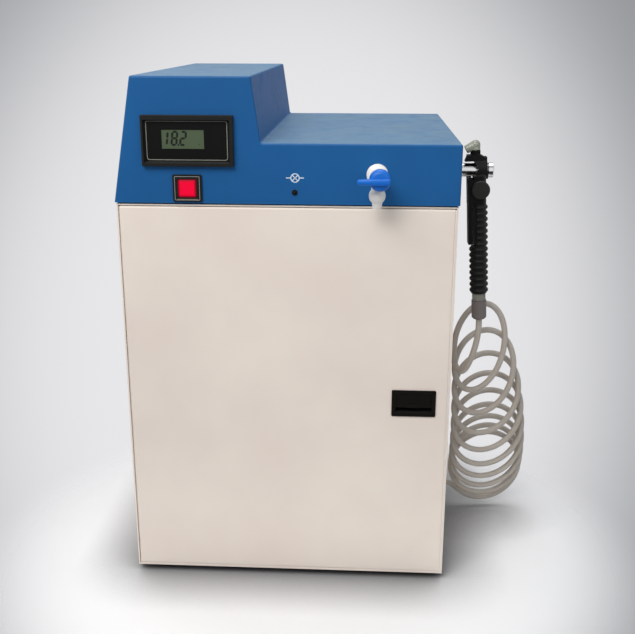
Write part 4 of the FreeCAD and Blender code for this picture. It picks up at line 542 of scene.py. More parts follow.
def hoseRoute(values):
    # from the port in the side panel, down the coil's turns and up to the gun
    turns = values["fullTurns"] + (values["endDegrees"] - values["startDegrees"]) / 360
    coilEnd = coilPoint(turns, values) + coilWay(turns, values) * values["diameter"]
    coilStart = coilPoint(0, values) - coilWay(0, values) * values["diameter"]
    portTurn = coilEnd + coilWay(turns, values) * values["endLead"]
    port = Vector((values["portFace"] - modelShift.x, portTurn.y, portTurn.z))
    points = [port, portTurn, coilEnd]
    count = round(turns * values["pointsPerTurn"])
    for step in range(count, -1, -1):
        points.append(coilPoint(turns * step / count, values))
    points += [coilStart, coilStart - coilWay(0, values) * values["endLead"]]
    points += [cabinetPoint(*place) for place in values["gunTail"]]
    points += [belowGun(values["belowGun"]), belowGun(0)]
    return points


def splineFrom(name, points):
    curve = bpy.data.curves.new(name, "CURVE")
    curve.dimensions = "3D"
    spline = curve.splines.new("NURBS")
    spline.points.add(len(points) - 1)
    for place, point in zip(points, spline.points):
        point.co = (*place, 1.0)
    spline.order_u = 3
    spline.use_endpoint_u = True
    return curve


def makeHose(values):
    points = hoseRoute(values)
    curve = splineFrom("hoseLine", points)
    curve.resolution_u = values["steps"]
    line = linked("hoseLine", curve)
    mesh = bpy.data.meshes.new_from_object(line)
    bpy.data.meshes.remove(mesh)
    curve.bevel_depth = values["diameter"] / 2
    curve.bevel_resolution = values["sides"]
    curve.use_fill_caps = True
    tube = bpy.data.meshes.new_from_object(line)
    bpy.data.objects.remove(line)
    piece = linked("spiralHose", tube)
    tube.materials.clear()
    tube.materials.append(materials["milkyHose"])
    for face in tube.polygons:
        face.use_smooth = True
    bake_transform(piece)
    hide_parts("hose_gun_tail", "hose_coil", "hose_wall_tail")


makeHose(hose)


def closedRing(shape, places):
    return [shape.verts.new(place) for place in places]


def uprightRing(shape, outline, y):
    # ring of an outline drawn upright in X and Z, at depth y
    return closedRing(shape, [cabinetPoint(a, y, b) for a, b in outline])


def roundWay(count):
    # pairs of cosine and sine, once round
    angles = [2 * math.pi * i / count for i in range(count)]
    return [(math.cos(angle), math.sin(angle)) for angle in angles]


def corners(left, right, low, high):
    return [(left, low), (right, low), (right, high), (left, high)]


def joinRings(shape, rings, capFirst=True, capLast=True):
    # skin between rings of equal length, with a flat face on each end
    for low, high in zip(rings, rings[1:]):
        count = len(low)
        for i in range(count):
            shape.faces.new((low[i], low[(i + 1) % count], high[(i + 1) % count], high[i]))
    if capFirst:
        shape.faces.new(list(reversed(rings[0])))
    if capLast:
        shape.faces.new(rings[-1])


def turned(shape, profile, sides, place):
    # closed form turned about its own Z from pairs of radius and height; radius 0 is a single point
    rings = []
    for radius, height in profile:
        if radius == 0:
            rings.append([shape.verts.new(place @ Vector((0, 0, height)))])
            continue
        rings.append(closedRing(shape, [place @ Vector((radius * a, radius * b, height))
                                        for a, b in roundWay(sides)]))
    for low, high in zip(rings, rings[1:]):
        for i in range(sides):
            j = (i + 1) % sides
            four = [low[i % len(low)], low[j % len(low)], high[j % len(high)], high[i % len(high)]]
            shape.faces.new(list(dict.fromkeys(four)))


def arcProfile(centre, radii, start, end, steps):
    # points of an ellipse's arc, as pairs of radius and height
    points = []
    for i in range(steps + 1):
        angle = math.radians(start + (end - start) * i / steps)
        points.append((centre[0] + radii[0] * math.cos(angle), centre[1] + radii[1] * math.sin(angle)))
    return points


def plate(shape, outline, y0, y1):
    # flat shape drawn upright in X and Z, from depth y0 to y1
    joinRings(shape, [uprightRing(shape, outline, y) for y in (y0, y1)])


def frameOutline(x, z, halfWidth, halfHeight, radius, steps):
    places = []
    for cornerX, cornerZ, start in ((1, 1, 0), (-1, 1, 90), (-1, -1, 180), (1, -1, 270)):
        for i in range(steps + 1):
            angle = math.radians(start + 90 * i / steps)
            places.append((x + cornerX * (halfWidth - radius) + radius * math.cos(angle),
                           z + cornerZ * (halfHeight - radius) + radius * math.sin(angle)))
    return places


def loopPlate(shape, outer, inner, y0, y1):
    # flat closed band between two outlines of equal length
    rings = [uprightRing(shape, outline, y)
             for outline, y in ((outer, y0), (inner, y0), (inner, y1), (outer, y1))]
    joinRings(shape, rings + [rings[0]], False, False)


def finishPiece(name, shape, finish, body, smoothAngle=35, replaced=()):
    bmesh.ops.remove_doubles(shape, verts=shape.verts, dist=1e-7)
    bmesh.ops.recalc_face_normals(shape, faces=shape.faces)
    mesh = bpy.data.meshes.new(name)
    shape.to_mesh(mesh)
    shape.free()
    mesh.materials.append(materials[finish])
    for face in mesh.polygons:
        face.use_smooth = True
    mesh.set_sharp_from_angle(angle=math.radians(smoothAngle))
    piece = linked(name, mesh)
    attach(piece, body)
    if replaced:
        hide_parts(*replaced)
    return piece


display = {
    "middle": (-0.1061, 0.5143),
    "front": -0.00210,
    "proud": 0.00012,
    "slant": 7.0,
    "height": 0.0156,
    "width": 0.0074,
    "stroke": 0.0023,
    "gap": 0.00018,
    "digits": [(-0.0188, "1"), (-0.0088, "8"), (0.0003, "2")],
    "point": (-0.0048, 0.0018),
    "mark": (0.0172, -0.0062, 0.0014),
}

segmentsOf = {"1": "bc", "8": "abcdefg", "2": "abged"}   # bars of each digit, clockwise from the top


def segmentOutline(letter, values):
    # one bar of a seven-part digit, with pointed ends, about the digit's middle
    halfWidth, halfHeight = values["width"] / 2, values["height"] / 2
    half, gap = values["stroke"] / 2, values["gap"]
    across = halfWidth - half
    reach = halfHeight - half
    if letter in "agd":
        z = {"a": reach, "g": 0.0, "d": -reach}[letter]
        end = across - gap
        return [(-end, z), (-end + half, z - half), (end - half, z - half), (end, z), (end - half, z + half),
                (-end + half, z + half)]
    x = across if letter in "bc" else -across
    low, high = (gap, reach - gap) if letter in "bf" else (-reach + gap, -gap)
    return [(x, low), (x + half, low + half), (x + half, high - half), (x, high), (x - half, high - half),
            (x - half, low + half)]


def makeDisplay(values):
    shape = bmesh.new()
    middleX, middleZ = values["middle"]
    slant = math.tan(math.radians(values["slant"]))
    y0, y1 = values["front"] - values["proud"], values["front"]

    def lean(outline, offset):
        return [(middleX + offset + x + z * slant, middleZ + z) for x, z in outline]
    for offset, digit in values["digits"]:
        for letter in segmentsOf[digit]:
            plate(shape, lean(segmentOutline(letter, values), offset), y0, y1)
    offset, size = values["point"]
    low = -values["height"] / 2
    plate(shape, lean(corners(0, size, low, low + size), offset), y0, y1)
    offset, rise, size = values["mark"]
    plate(shape, lean(corners(0, size, rise, rise + size / 2), offset), y0, y1)
    finishPiece("displayDigits", shape, "digitBlack", "cabinet")


makeDisplay(display)

printing = {
    "borderMiddle": (-0.10205, 0.5120),
    "borderHalf": (0.0425, 0.0202),
    "borderRadius": 0.0028,
    "borderLine": 0.0008,
    "borderFront": -0.00256,
    "borderBack": -0.0025,
    "lampMiddle": (0.00995, 0.47435),
    "lampRadius": 0.0049,
    "lampReach": 0.00935,
    "lampLine": 0.00105,
    "lampFront": -0.00156,
    "lampBack": -0.0015,
    "layer": 0.00001,   # keeps crossing strokes out of one plane
    "steps": 40,
    "cornerSteps": 6,
}


def makePrinting(values):
    # border line on the meter's face, and the general sign for a lamp beside the indicator
    shape = bmesh.new()
    (x, z), (halfWidth, halfHeight) = values["borderMiddle"], values["borderHalf"]
    radius, line, steps = values["borderRadius"], values["borderLine"], values["cornerSteps"]
    outer = frameOutline(x, z, halfWidth, halfHeight, radius, steps)
    inner = frameOutline(x, z, halfWidth - line, halfHeight - line, radius - line, steps)
    loopPlate(shape, outer, inner, values["borderFront"], values["borderBack"])
    finishPiece("meterBorder", shape, "printGrey", "cabinet")
    shape = bmesh.new()
    x, z = values["lampMiddle"]
    line, reach, radius = values["lampLine"], values["lampReach"], values["lampRadius"]
    outer, inner = ([(x + size * a, z + size * b) for a, b in roundWay(values["steps"])]
                    for size in (radius, radius - line))
    loopPlate(shape, outer, inner, values["lampFront"], values["lampBack"])
    half, end = line / 2, radius - line / 2
    for degrees in (45, -45):
        turn = math.radians(degrees)
        c, s = math.cos(turn), math.sin(turn)
        plate(shape, [(x + a * c - b * s, z + a * s + b * c) for a, b in corners(-end, end, -half, half)],
              values["lampFront"] + values["layer"], values["lampBack"])
    for way in (-1, 1):
        low, high = sorted((way * (radius - half), way * reach))
        plate(shape, corners(x + low, x + high, z - half, z + half),
              values["lampFront"] + 2 * values["layer"], values["lampBack"])
    finishPiece("lampSign", shape, "printWhite", "cabinet")


makePrinting(printing)
print("display and printing made")

meterFrame = {
    "middle": (-0.1012, 0.5120),
    "half": (0.0480, 0.0262),
    "radius": 0.0010,
    "hood": -0.0015,
    "front": -0.0075,
    "edge": 0.0007,
    "openingMiddle": (-0.1018, 0.5113),
    "openingHalf": (0.0434, 0.0206),
    "slope": 0.0016,
    "face": -0.00252,
    "seatHalf": (0.0441, 0.0211),
    "cornerSteps": 5,
}


def makeMeterFrame(values):
    # square moulding round the meter, with a sloping inner edge
    shape = bmesh.new()
    (x, z), (halfWidth, halfHeight) = values["middle"], values["half"]
    (innerX, innerZ), (innerWidth, innerHeight) = values["openingMiddle"], values["openingHalf"]
    radius, edge, slope = values["radius"], values["edge"], values["slope"]
    seatWidth, seatHeight = values["seatHalf"]
    front, hood, face = values["front"], values["hood"], values["face"]
    rows = [(x, z, halfWidth, halfHeight, hood), (x, z, halfWidth, halfHeight, front + edge),
            (x, z, halfWidth - edge, halfHeight - edge, front),
            (innerX, innerZ, innerWidth + slope, innerHeight + slope, front),
            (innerX, innerZ, innerWidth, innerHeight, face), (innerX, innerZ, seatWidth, seatHeight, face),
            (innerX, innerZ, seatWidth, seatHeight, hood)]
    rings = [uprightRing(shape, frameOutline(*row, radius, values["cornerSteps"]), y) for *row, y in rows]
    joinRings(shape, rings + [rings[0]], False, False)
    finishPiece("meterFrame", shape, "blackPlastic", "cabinet", 35, ["meter_bezel"])


makeMeterFrame(meterFrame)

switchTrim = {
    "middle": (-0.1032, 0.4628),
    "rimHalf": (0.0133, 0.0126),
    "rimRadius": 0.0008,
    "rimLine": 0.0006,
    "rimFront": -0.0047,
    "rimBack": -0.0036,
    # bar under the lens, which carries a painted reflection
    "reflectionBarHalf": 0.0108,
    "reflectionBarSpan": (-0.0122, -0.0112),
    "reflectionBarFront": -0.0043,
    "lensHalf": (0.0097, 0.0094),
    "lensRadius": 0.0026,
    "leastRadius": 0.0006,
    "cornerSteps": (4, 6),     # of the rim and of the lens
    "lensLevels": [   # inset and depth, from the back
        (0.0, 0.0052), (0.0, -0.0044), (0.0004, -0.0050), (0.0012, -0.0053), (0.0040, -0.0054)],
}


def makeSwitch(values):
    # thin rim on the switch's frame, grey as a painted highlight on its edge, a brown bar under the lens as a
    # painted reflection, and the crowned lens that is pressed
    x, z = values["middle"]
    width, height = values["rimHalf"]
    line, radius = values["rimLine"], values["rimRadius"]
    rimSteps, lensSteps = values["cornerSteps"]
    # rim on the switch's frame; its grey is a painted highlight on the edge
    shape = bmesh.new()
    loopPlate(shape, frameOutline(x, z, width, height, radius, rimSteps),
              frameOutline(x, z, width - line, height - line, radius - line / 2, rimSteps),
              values["rimFront"], values["rimBack"])
    finishPiece("switchRimHighlight", shape, "rimHighlightGrey", "cabinet")
    # brown bar under the lens: a painted reflection, not a part of the switch
    shape = bmesh.new()
    half, (low, high) = values["reflectionBarHalf"], values["reflectionBarSpan"]
    plate(shape, corners(x - half, x + half, z + low, z + high), values["reflectionBarFront"], values["rimBack"])
    finishPiece("switchReflectionBar", shape, "reflectionBarBrown", "cabinet")
    shape = bmesh.new()
    width, height = values["lensHalf"]
    rings = []
    for inset, y in values["lensLevels"]:
        corner = max(values["lensRadius"] - inset, values["leastRadius"])
        outline = frameOutline(x, z, width - inset, height - inset, corner, lensSteps)
        rings.append(uprightRing(shape, outline, y))
    joinRings(shape, rings)
    finishPiece("switchLens", shape, "switchRed", "switch_button", 40, ["switch_button"])


makeSwitch(switchTrim)

doorTrim = {
    "half": 0.1785,
    "bottom": 0.0105,
    "top": 0.4420,
    "proud": 0.0009,
    "hingeProud": 0.0007,
    "inside": 0.0004,
    "front": 0.0008,
    "hingeFront": 0.0026,
    "back": 0.0042,
}


def makeDoorTrim(values):
    # pale lip along the door's sides and foot, which hides the gap behind it
    shape = bmesh.new()
    half, low, high = values["half"], values["bottom"], values["top"]
    proud, hingeProud, inside = values["proud"], values["hingeProud"], values["inside"]
    front, hingeFront = values["front"], values["hingeFront"]
    for left, right, bottom, top, y in (
            (-half - hingeProud, -half + inside, low - hingeProud, high, hingeFront),
            (half - inside, half + proud, low - proud, high, front),
            (-half + inside, half - inside, low - proud, low + inside, front)):
        plate(shape, corners(left, right, bottom, top), y, values["back"])
    finishPiece("doorTrim", shape, "creamPowder", "door")


makeDoorTrim(doorTrim)
print("meter frame, switch and door trim made")


tap = {
    "axis": (0.0955, 0.4785),
    "hoodFront": -0.0015,
    "sides": 48,
    "arcSteps": 12,
    "crownSteps": 8,
    "flangeRadius": 0.0113,
    "flangeDepth": 0.0030,
    "flangeShoulder": 0.92,   # share of the flange's depth at which the barrel leaves it
    "barrelRadius": 0.0072,
    "barrelReach": 0.0335,
    "spoutSetback": 0.0225,
    "ballRadius": 0.0086,
    "ballDrop": 0.0180,
    "neckRadius": 0.0062,
    "nozzleRadius": 0.0049,
    "boreRadius": 0.0033,
    "spoutDrop": 0.0310,
    "knobRadius": 0.0110,
    "knobDepth": 0.0105,
    "knobOffset": 0.0024,
    "gap": 0.0003,
    "edge": 0.0006,
    "neckTop": -0.004,
    "ballStretch": 1.02,
    "ballArc": (42, -48),
    "ballFoot": (0.0003, 0.0078),
    "tipEdge": 0.0004,
    "boreDepth": 0.012,
    "crown": (0.0048, 0.0046),
    "crownMiddle": (0.3, 0.0003, 0.0004),
    "leverLeft": 0.0205,
    "leverRight": 0.0129,
    "leverHalf": 0.0034,
    "leverTipHalf": 0.0024,
    "leverDrop": 0.0011,
    "leverProud": 0.0032,
    "leverDepth": 0.0090,
    "leverSquareness": 0.45,
    "leverSides": 24,
    "leverStations": [   # share of the reach and share of the size
        (-1.0, 0.35), (-0.985, 0.75), (-0.95, 1.0), (-0.6, 1.0), (-0.25, 1.0), (0.25, 1.0), (0.7, 1.0),
        (0.93, 1.0), (0.98, 0.75), (1.0, 0.35)],
}


def makeTap(values):
    x, z = values["axis"]
    front = values["hoodFront"]
    along = Matrix.Translation(cabinetPoint(x, front, z)) @ Matrix.Rotation(math.radians(90), 4, "X")
    flange, barrel = values["flangeRadius"], values["barrelRadius"]
    depth, reach, edge = values["flangeDepth"], values["barrelReach"], values["edge"]
    shape = bmesh.new()
    domed = [(flange * math.cos(a), depth * math.sin(a)) for a in (math.radians(15 * i) for i in range(4))]
    turned(shape, [(0, 0)] + domed + [(barrel, depth * values["flangeShoulder"]),
                                      (barrel, reach - edge), (barrel - edge, reach), (0, reach)],
           values["sides"], along)
    upright = Matrix.Translation(cabinetPoint(x, front - values["spoutSetback"], z))
    ballRadii = (values["ballRadius"], values["ballRadius"] * values["ballStretch"])
    ball = arcProfile((0, -values["ballDrop"]), ballRadii, *values["ballArc"], values["arcSteps"])
    drop, bore, nozzle = values["spoutDrop"], values["boreRadius"], values["nozzleRadius"]
    neckTop, (footGain, footDrop) = values["neckTop"], values["ballFoot"]
    boreTop = -drop + values["boreDepth"]
    turned(shape, [(0, neckTop), (values["neckRadius"], neckTop)] + ball
           + [(nozzle + footGain, -values["ballDrop"] - footDrop), (nozzle, -drop + edge),
              (nozzle - values["tipEdge"], -drop), (bore, -drop), (bore, boreTop), (0, boreTop)],
           values["sides"], upright)
    finishPiece("tapSpout", shape, "tapWhite", "cabinet", 50, ["tap_body"])

    shape = bmesh.new()
    back = values["barrelReach"] + values["gap"]
    end = back + values["knobDepth"]
    radius = values["knobRadius"]
    place = along @ Matrix.Translation((values["knobOffset"], 0, back))
    wide, tall = values["crown"]
    crown = arcProfile((radius - wide, values["knobDepth"] - tall), (wide, tall), 0, 90, values["crownSteps"])
    middleShare, middleRise, topRise = values["crownMiddle"]
    turned(shape, [(0, 0), (radius - edge, 0), (radius, edge)] + crown
           + [(radius * middleShare, values["knobDepth"] + middleRise), (0, values["knobDepth"] + topRise)],
           values["sides"], place)
    middle = end + values["leverProud"] - values["leverDepth"] / 2
    squareness = values["leverSquareness"]
    rings = []
    for share, size in values["leverStations"]:
        across = values["leverLeft"] * share if share < 0 else values["leverRight"] * share
        lean = min(1.0, max(0.0, -share))
        half = values["leverHalf"] + (values["leverTipHalf"] - values["leverHalf"]) * lean
        ring = []
        for c, s in roundWay(values["leverSides"]):
            up = half * size * math.copysign(abs(s) ** squareness, s)
            out = values["leverDepth"] / 2 * (0.55 + 0.45 * size) * math.copysign(abs(c) ** squareness, c)
            ring.append(along @ Vector((across, up - values["leverDrop"], middle + out)))
        rings.append(closedRing(shape, ring))
    joinRings(shape, rings)
    finishPiece("tapLever", shape, "tapBlue", "tap_handle", 60, ["tap_handle"])


makeTap(tap)
print("tap made")


def endTree(tree, given, result, placed):
    real = tree.add("GeometryNodeRealizeInstances", {0: placed.outputs[0]})
    painted = tree.add("GeometryNodeSetMaterial", {"Geometry": real.outputs[0],
                                                   "Material": given.outputs["Material"]})
    tree.link(painted.outputs[0], result.inputs[0])


def ridgeRingTree():
    # small rounded ridges that stand round a ring
    group, tree, given, result = groupOf(
        "ridgeRing",
        [("Count", "NodeSocketInt", 24), ("Ring Radius", "NodeSocketFloat", 0.007),
         ("Ridge Radius", "NodeSocketFloat", 0.0004), ("Length", "NodeSocketFloat", 0.01),
         ("Material", "NodeSocketMaterial", None)],
        [("Geometry", "NodeSocketGeometry")], "GeometryNodeTree")
    ridge = tree.add("GeometryNodeMeshCylinder", {"Vertices": 8, "Side Segments": 1,
                                                  "Radius": given.outputs["Ridge Radius"],
                                                  "Depth": given.outputs["Length"]})
    index = tree.add("GeometryNodeInputIndex").outputs[0]
    step = tree.math("DIVIDE", 2 * math.pi, given.outputs["Count"])
    angle = tree.times(index, step)
    x = tree.times(tree.math("COSINE", angle), given.outputs["Ring Radius"])
    y = tree.times(tree.math("SINE", angle), given.outputs["Ring Radius"])
    place = tree.add("ShaderNodeCombineXYZ", {0: x, 1: y}).outputs[0]
    turn = tree.add("ShaderNodeCombineXYZ", {2: angle}).outputs[0]
    points = tree.add("GeometryNodePoints", {"Count": given.outputs["Count"], "Position": place})
    placed = tree.add("GeometryNodeInstanceOnPoints", {"Points": points.outputs[0], "Rotation": turn,
                                                       "Instance": ridge.outputs[0]})
    endTree(tree, given, result, placed)
    return group


def ribStackTree():
    # round ribs one behind the other along -Z; each goes round by the sweep
    group, tree, given, result = groupOf(
        "ribStack",
        [("Count", "NodeSocketInt", 8), ("Pitch", "NodeSocketFloat", 0.006),
         ("Ring Radius", "NodeSocketFloat", 0.0075), ("Rib Radius", "NodeSocketFloat", 0.003),
         ("Half Sweep", "NodeSocketFloat", 180.0), ("Steps", "NodeSocketInt", 48),
         ("Material", "NodeSocketMaterial", None)],
        [("Geometry", "NodeSocketGeometry")], "GeometryNodeTree")
    half = tree.add("ShaderNodeMath", {0: given.outputs["Half Sweep"]}, operation="RADIANS").outputs[0]
    arc = tree.add("GeometryNodeCurveArc", {"Resolution": given.outputs["Steps"],
                                            "Radius": given.outputs["Ring Radius"],
                                            "Start Angle": tree.times(half, -1.0),
                                            "Sweep Angle": tree.times(half, 2.0)})
    section = tree.add("GeometryNodeCurvePrimitiveCircle", {"Resolution": 12,
                                                            "Radius": given.outputs["Rib Radius"]})
    rib = tree.add("GeometryNodeCurveToMesh", {"Curve": arc.outputs[0], "Profile Curve": section.outputs[0],
                                               "Fill Caps": True})
    down = tree.times(given.outputs["Pitch"], -1.0)
    offset = tree.add("ShaderNodeCombineXYZ", {2: down}).outputs[0]
    line = tree.add("GeometryNodeMeshLine", {"Count": given.outputs["Count"], "Offset": offset},
                    mode="OFFSET")
    placed = tree.add("GeometryNodeInstanceOnPoints", {"Points": line.outputs[0], "Instance": rib.outputs[0]})
    endTree(tree, given, result, placed)
    return group


ridgeRing = ridgeRingTree()
ribStack = ribStackTree()


def grown(tree, inputs, place):
    # plain mesh of what a geometry tree makes with these inputs, moved to its place
    item = linked("grown", bpy.data.meshes.new("grown"))
    modifier = item.modifiers.new("grown", "NODES")
    modifier.node_group = tree
    for socket in tree.interface.items_tree:
        if socket.item_type == "SOCKET" and socket.in_out == "INPUT" and socket.name in inputs:
            modifier[socket.identifier] = inputs[socket.name]
    evaluated = item.evaluated_get(bpy.context.evaluated_depsgraph_get())
    mesh = bpy.data.meshes.new_from_object(evaluated)
    bpy.data.objects.remove(item)
    mesh.transform(place)
    return mesh


def shapeFrom(meshes):
    shape = bmesh.new()
    for mesh in meshes:
        shape.from_mesh(mesh)
        bpy.data.meshes.remove(mesh)
    return shape


def grownPiece(name, finish, body, tree, inputs, places, smoothAngle=50):
    # the same grown form at each of the places, as one piece
    inputs = dict(inputs, Material=materials[finish])
    finishPiece(name, shapeFrom([grown(tree, inputs, place) for place in places]), finish, body, smoothAngle)


grip = {
    "top": -0.0345,
    "bottom": -0.1365,
    "ribCount": 15,
    "flatBottom": -0.082,
    "flatReach": -0.0028,   # the lever's side is flat down to here
    "coreRadius": 0.0088,
    "peakRadius": 0.0106,
    "ribRadius": 0.0026,
    "flatSweep": 104.0,
    "tongue": (-0.0059, 0.0056, -0.0800),   # ridge in the lever's channel: reach, half width and foot
    "ringRoom": (0.0079, -0.1322),          # hollow over the end ring: radius and top
    "flatStep": 0.0005,
    "sides": 48,
}


def makeGrip(values):
    hung = hungMatrix() @ Matrix.Translation((*gunHang["axis"], 0))
    pitch = (values["top"] - values["bottom"]) / values["ribCount"]
    flatCount = round((values["top"] - values["flatBottom"]) / pitch)
    shared = {"Pitch": pitch, "Ring Radius": values["peakRadius"] - values["ribRadius"],
              "Rib Radius": values["ribRadius"], "Steps": values["sides"],
              "Material": materials["sleeveRubber"]}
    upper = grown(ribStack, dict(shared, **{"Count": flatCount, "Half Sweep": values["flatSweep"]}),
                  hung @ Matrix.Translation((0, 0, values["top"] - pitch / 2)))
    lower = grown(ribStack, dict(shared, **{"Count": values["ribCount"] - flatCount, "Half Sweep": 180.0}),
                  hung @ Matrix.Translation((0, 0, values["top"] - pitch * (flatCount + 0.5))))
    shape = shapeFrom([upper, lower])
    radius, flat = values["coreRadius"], values["flatReach"]
    (room, roomTop), bottom, flatBottom = values["ringRoom"], values["bottom"], values["flatBottom"]
    rows = [(values["top"], radius, flat), (flatBottom + values["flatStep"], radius, flat),
            (flatBottom, radius, -radius), (bottom, radius, -radius),
            (bottom, room, -room), (roomTop, room, -room)]   # the last two are the hollow over the end ring
    joinRings(shape, [closedRing(shape, [hung @ Vector((max(wide * c, least), wide * s, height))
                                         for c, s in roundWay(values["sides"])])
                      for height, wide, least in rows])
    reach, half, foot = values["tongue"]
    levels = [closedRing(shape, [hung @ Vector((a, b, height)) for a, b in corners(reach, 0, -half, half)])
              for height in (values["top"], foot)]
    joinRings(shape, levels)
    finishPiece("gripSleeve", shape, "sleeveRubber", "gun", 50, ["gun_grip_sleeve"])


makeGrip(grip)

nozzle = {
    "knee": (-0.004, -0.003, 0.0285),   # in the gun's own place
    "foot": 0.0230,
    "riserRadius": 0.0054,
    "kneeRadius": 0.0056,
    "droop": 25.0,
    "reach": 0.0118,
    "tipRadius": 0.0045,
    "boreRadius": 0.0020,
    "boreDepth": 0.006,
    "edge": 0.0004,
    "tipEdge": 0.0005,
    "tipInset": 0.0002,
    "sides": 40,
    "ballArc": (-80, 80, 16),
    "voxel": 0.00035,
    "rounds": 6,
}


def makeNozzle(values):
    # clear knee: riser, ball and drooping tip, melted into one skin
    hung = hungMatrix()
    knee = Vector(values["knee"])
    shape = bmesh.new()
    radius, foot = values["riserRadius"], values["foot"] - knee.z
    sides, edge = values["sides"], values["edge"]
    turned(shape, [(0, foot), (radius - edge, foot), (radius, foot + edge), (radius, 0), (0, 0)], sides,
           Matrix.Translation(knee))
    ball = values["kneeRadius"]
    turned(shape, [(0, -ball)] + arcProfile((0, 0), (ball, ball), *values["ballArc"]) + [(0, ball)], sides,
           Matrix.Translation(knee))
    way = Matrix.Translation(knee) @ Matrix.Rotation(math.radians(-90 - values["droop"]), 4, "Y")
    reach, tip, bore = values["reach"], values["tipRadius"], values["boreRadius"]
    tipEdge, boreEnd = values["tipEdge"], reach - values["boreDepth"]
    turned(shape, [(0, 0), (ball - values["tipInset"], 0), (tip, reach - tipEdge), (tip - tipEdge, reach),
                   (bore, reach), (bore, boreEnd), (0, boreEnd)], sides, way)
    bmesh.ops.recalc_face_normals(shape, faces=shape.faces)
    mesh = bpy.data.meshes.new("nozzle")
    shape.to_mesh(mesh)
    shape.free()
    item = linked("nozzle", mesh)
    melted = item.modifiers.new("melted", "REMESH")
    melted.mode = "VOXEL"
    melted.voxel_size = values["voxel"]
    eased = item.modifiers.new("eased", "SMOOTH")
    eased.iterations = values["rounds"]
    skin = bpy.data.meshes.new_from_object(item.evaluated_get(bpy.context.evaluated_depsgraph_get()))
    bpy.data.objects.remove(item)
    skin.transform(hung)
    finishPiece("nozzleKnee", shapeFrom([skin]), "smokyNozzle", "gun", 60, ["gun_nozzle"])


makeNozzle(nozzle)

knurls = {
    "ring": {"Count": 40, "Ring Radius": 0.0072, "Ridge Radius": 0.00036, "Length": 0.0105},
    "ringDrop": -0.139,
    "collar": {"Count": 30, "Ring Radius": 0.0053, "Ridge Radius": 0.00030, "Length": 0.0038},
    "collarPlace": (-0.004, -0.003, 0.0205),
}


def makeKnurls(values):
    hung = hungMatrix()
    ring, collar = (hung @ Matrix.Translation(place)
                    for place in ((*gunHang["axis"], values["ringDrop"]), values["collarPlace"]))
    grownPiece("endRingKnurls", "ringGrey", "gun", ridgeRing, values["ring"], [ring], 35)
    grownPiece("collarKnurls", "gunPlastic", "gun", ridgeRing, values["collar"], [collar], 35)


makeKnurls(knurls)
print("grip and knurls made")


inside = {
    "cartridges": [(-0.108, 0.096), (0.0, 0.096), (0.108, 0.096)],
    "cartridgeRadius": 0.043,
    "bandBottom": 0.150,
    "bandTop": 0.300,
    "bandProud": 0.0003,
    "bandUnder": -0.0005,
    "ribs": {"Count": 3, "Pitch": 0.008, "Ring Radius": 0.0424, "Rib Radius": 0.0012, "Half Sweep": 180.0,
             "Steps": 64},
    "ribTops": [0.128, 0.336],
    "motor": (0.070, 0.262, 0.0475),
    "motorFins": {"Count": 11, "Pitch": 0.0062, "Ring Radius": 0.0270, "Rib Radius": 0.0013,
                  "Half Sweep": 140.0, "Steps": 48},
    "capRidges": {"Count": 36, "Ring Radius": 0.0284, "Ridge Radius": 0.0006, "Length": 0.013},
    "chamber": (-0.118, 0.322),
    "caps": [0.070, 0.370],
    "sides": 64,
}


def makeInside(values):
    # moulded rings and plain bands on the cartridges, fins on the motor, ridges on the lamp chamber's caps
    places = [Matrix.Translation(cabinetPoint(x, y, top)) for x, y in values["cartridges"]
              for top in values["ribTops"]]
    grownPiece("cartridgeRings", "cartridgeWhite", "cabinet", ribStack, values["ribs"], places)
    shape = bmesh.new()
    under, over = (values["cartridgeRadius"] + values[key] for key in ("bandUnder", "bandProud"))
    low, high = values["bandBottom"], values["bandTop"]
    for x, y in values["cartridges"]:
        turned(shape, [(under, low), (over, low), (over, high), (under, high), (under, low)], values["sides"],
               Matrix.Translation(cabinetPoint(x, y, 0)))
    finishPiece("cartridgeBands", shape, "cartridgeBand", "cabinet", 50)
    fins = values["motorFins"]
    span = fins["Pitch"] * (fins["Count"] - 1)
    x, y, z = values["motor"]
    place = Matrix.Translation(cabinetPoint(x - span / 2, y, z)) @ Matrix.Rotation(math.radians(-90), 4, "Y")
    grownPiece("motorFins", "motorGrey", "cabinet", ribStack, fins, [place])
    x, y = values["chamber"]
    places = [Matrix.Translation(cabinetPoint(x, y, z)) for z in values["caps"]]
    grownPiece("chamberCapRidges", "headBlue", "cabinet", ridgeRing, values["capRidges"], places)


makeInside(inside)
print("inner details made")


stage = {
    "radius": 3.0,
    "rings": 24,
    "floor": (248, 249, 250),
    "floorShade": (84, 84, 86),   # colour of the painted contact shadow, where the object stands close over the floor
    "shadeReach": 0.085,
    "shadePower": 2.0,
    "fadeMiddle": (0.0, 0.10, 0.0),
    "fadeFrom": 0.25,
    "fadeTo": 0.43,
    "middle": (-0.0827, 0.9458, -0.309),   # the way in which the backdrop is brightest
    "reach": 0.442,
    "sideways": 1.2,
    "power": 6.0,
    "sideFade": (0.40, 0.62),
    "aheadBand": (0.0, 0.2),
    "rise": (-0.30, 0.36),
    "glossBright": (255, 255, 255),   # what polished metal mirrors from the camera's side of the room
    "glossDark": (58, 56, 58),
    "glossBand": (-0.17, -0.08, 0.58, 0.70),
    "glossTop": 0.55,
    "frontBand": (-0.05, -0.35),
    "bright": (232, 232, 234),
    "dim": (146, 148, 152),
    "light": (0.93, 0.96, 1.0),
    "strength": 0.35,
}


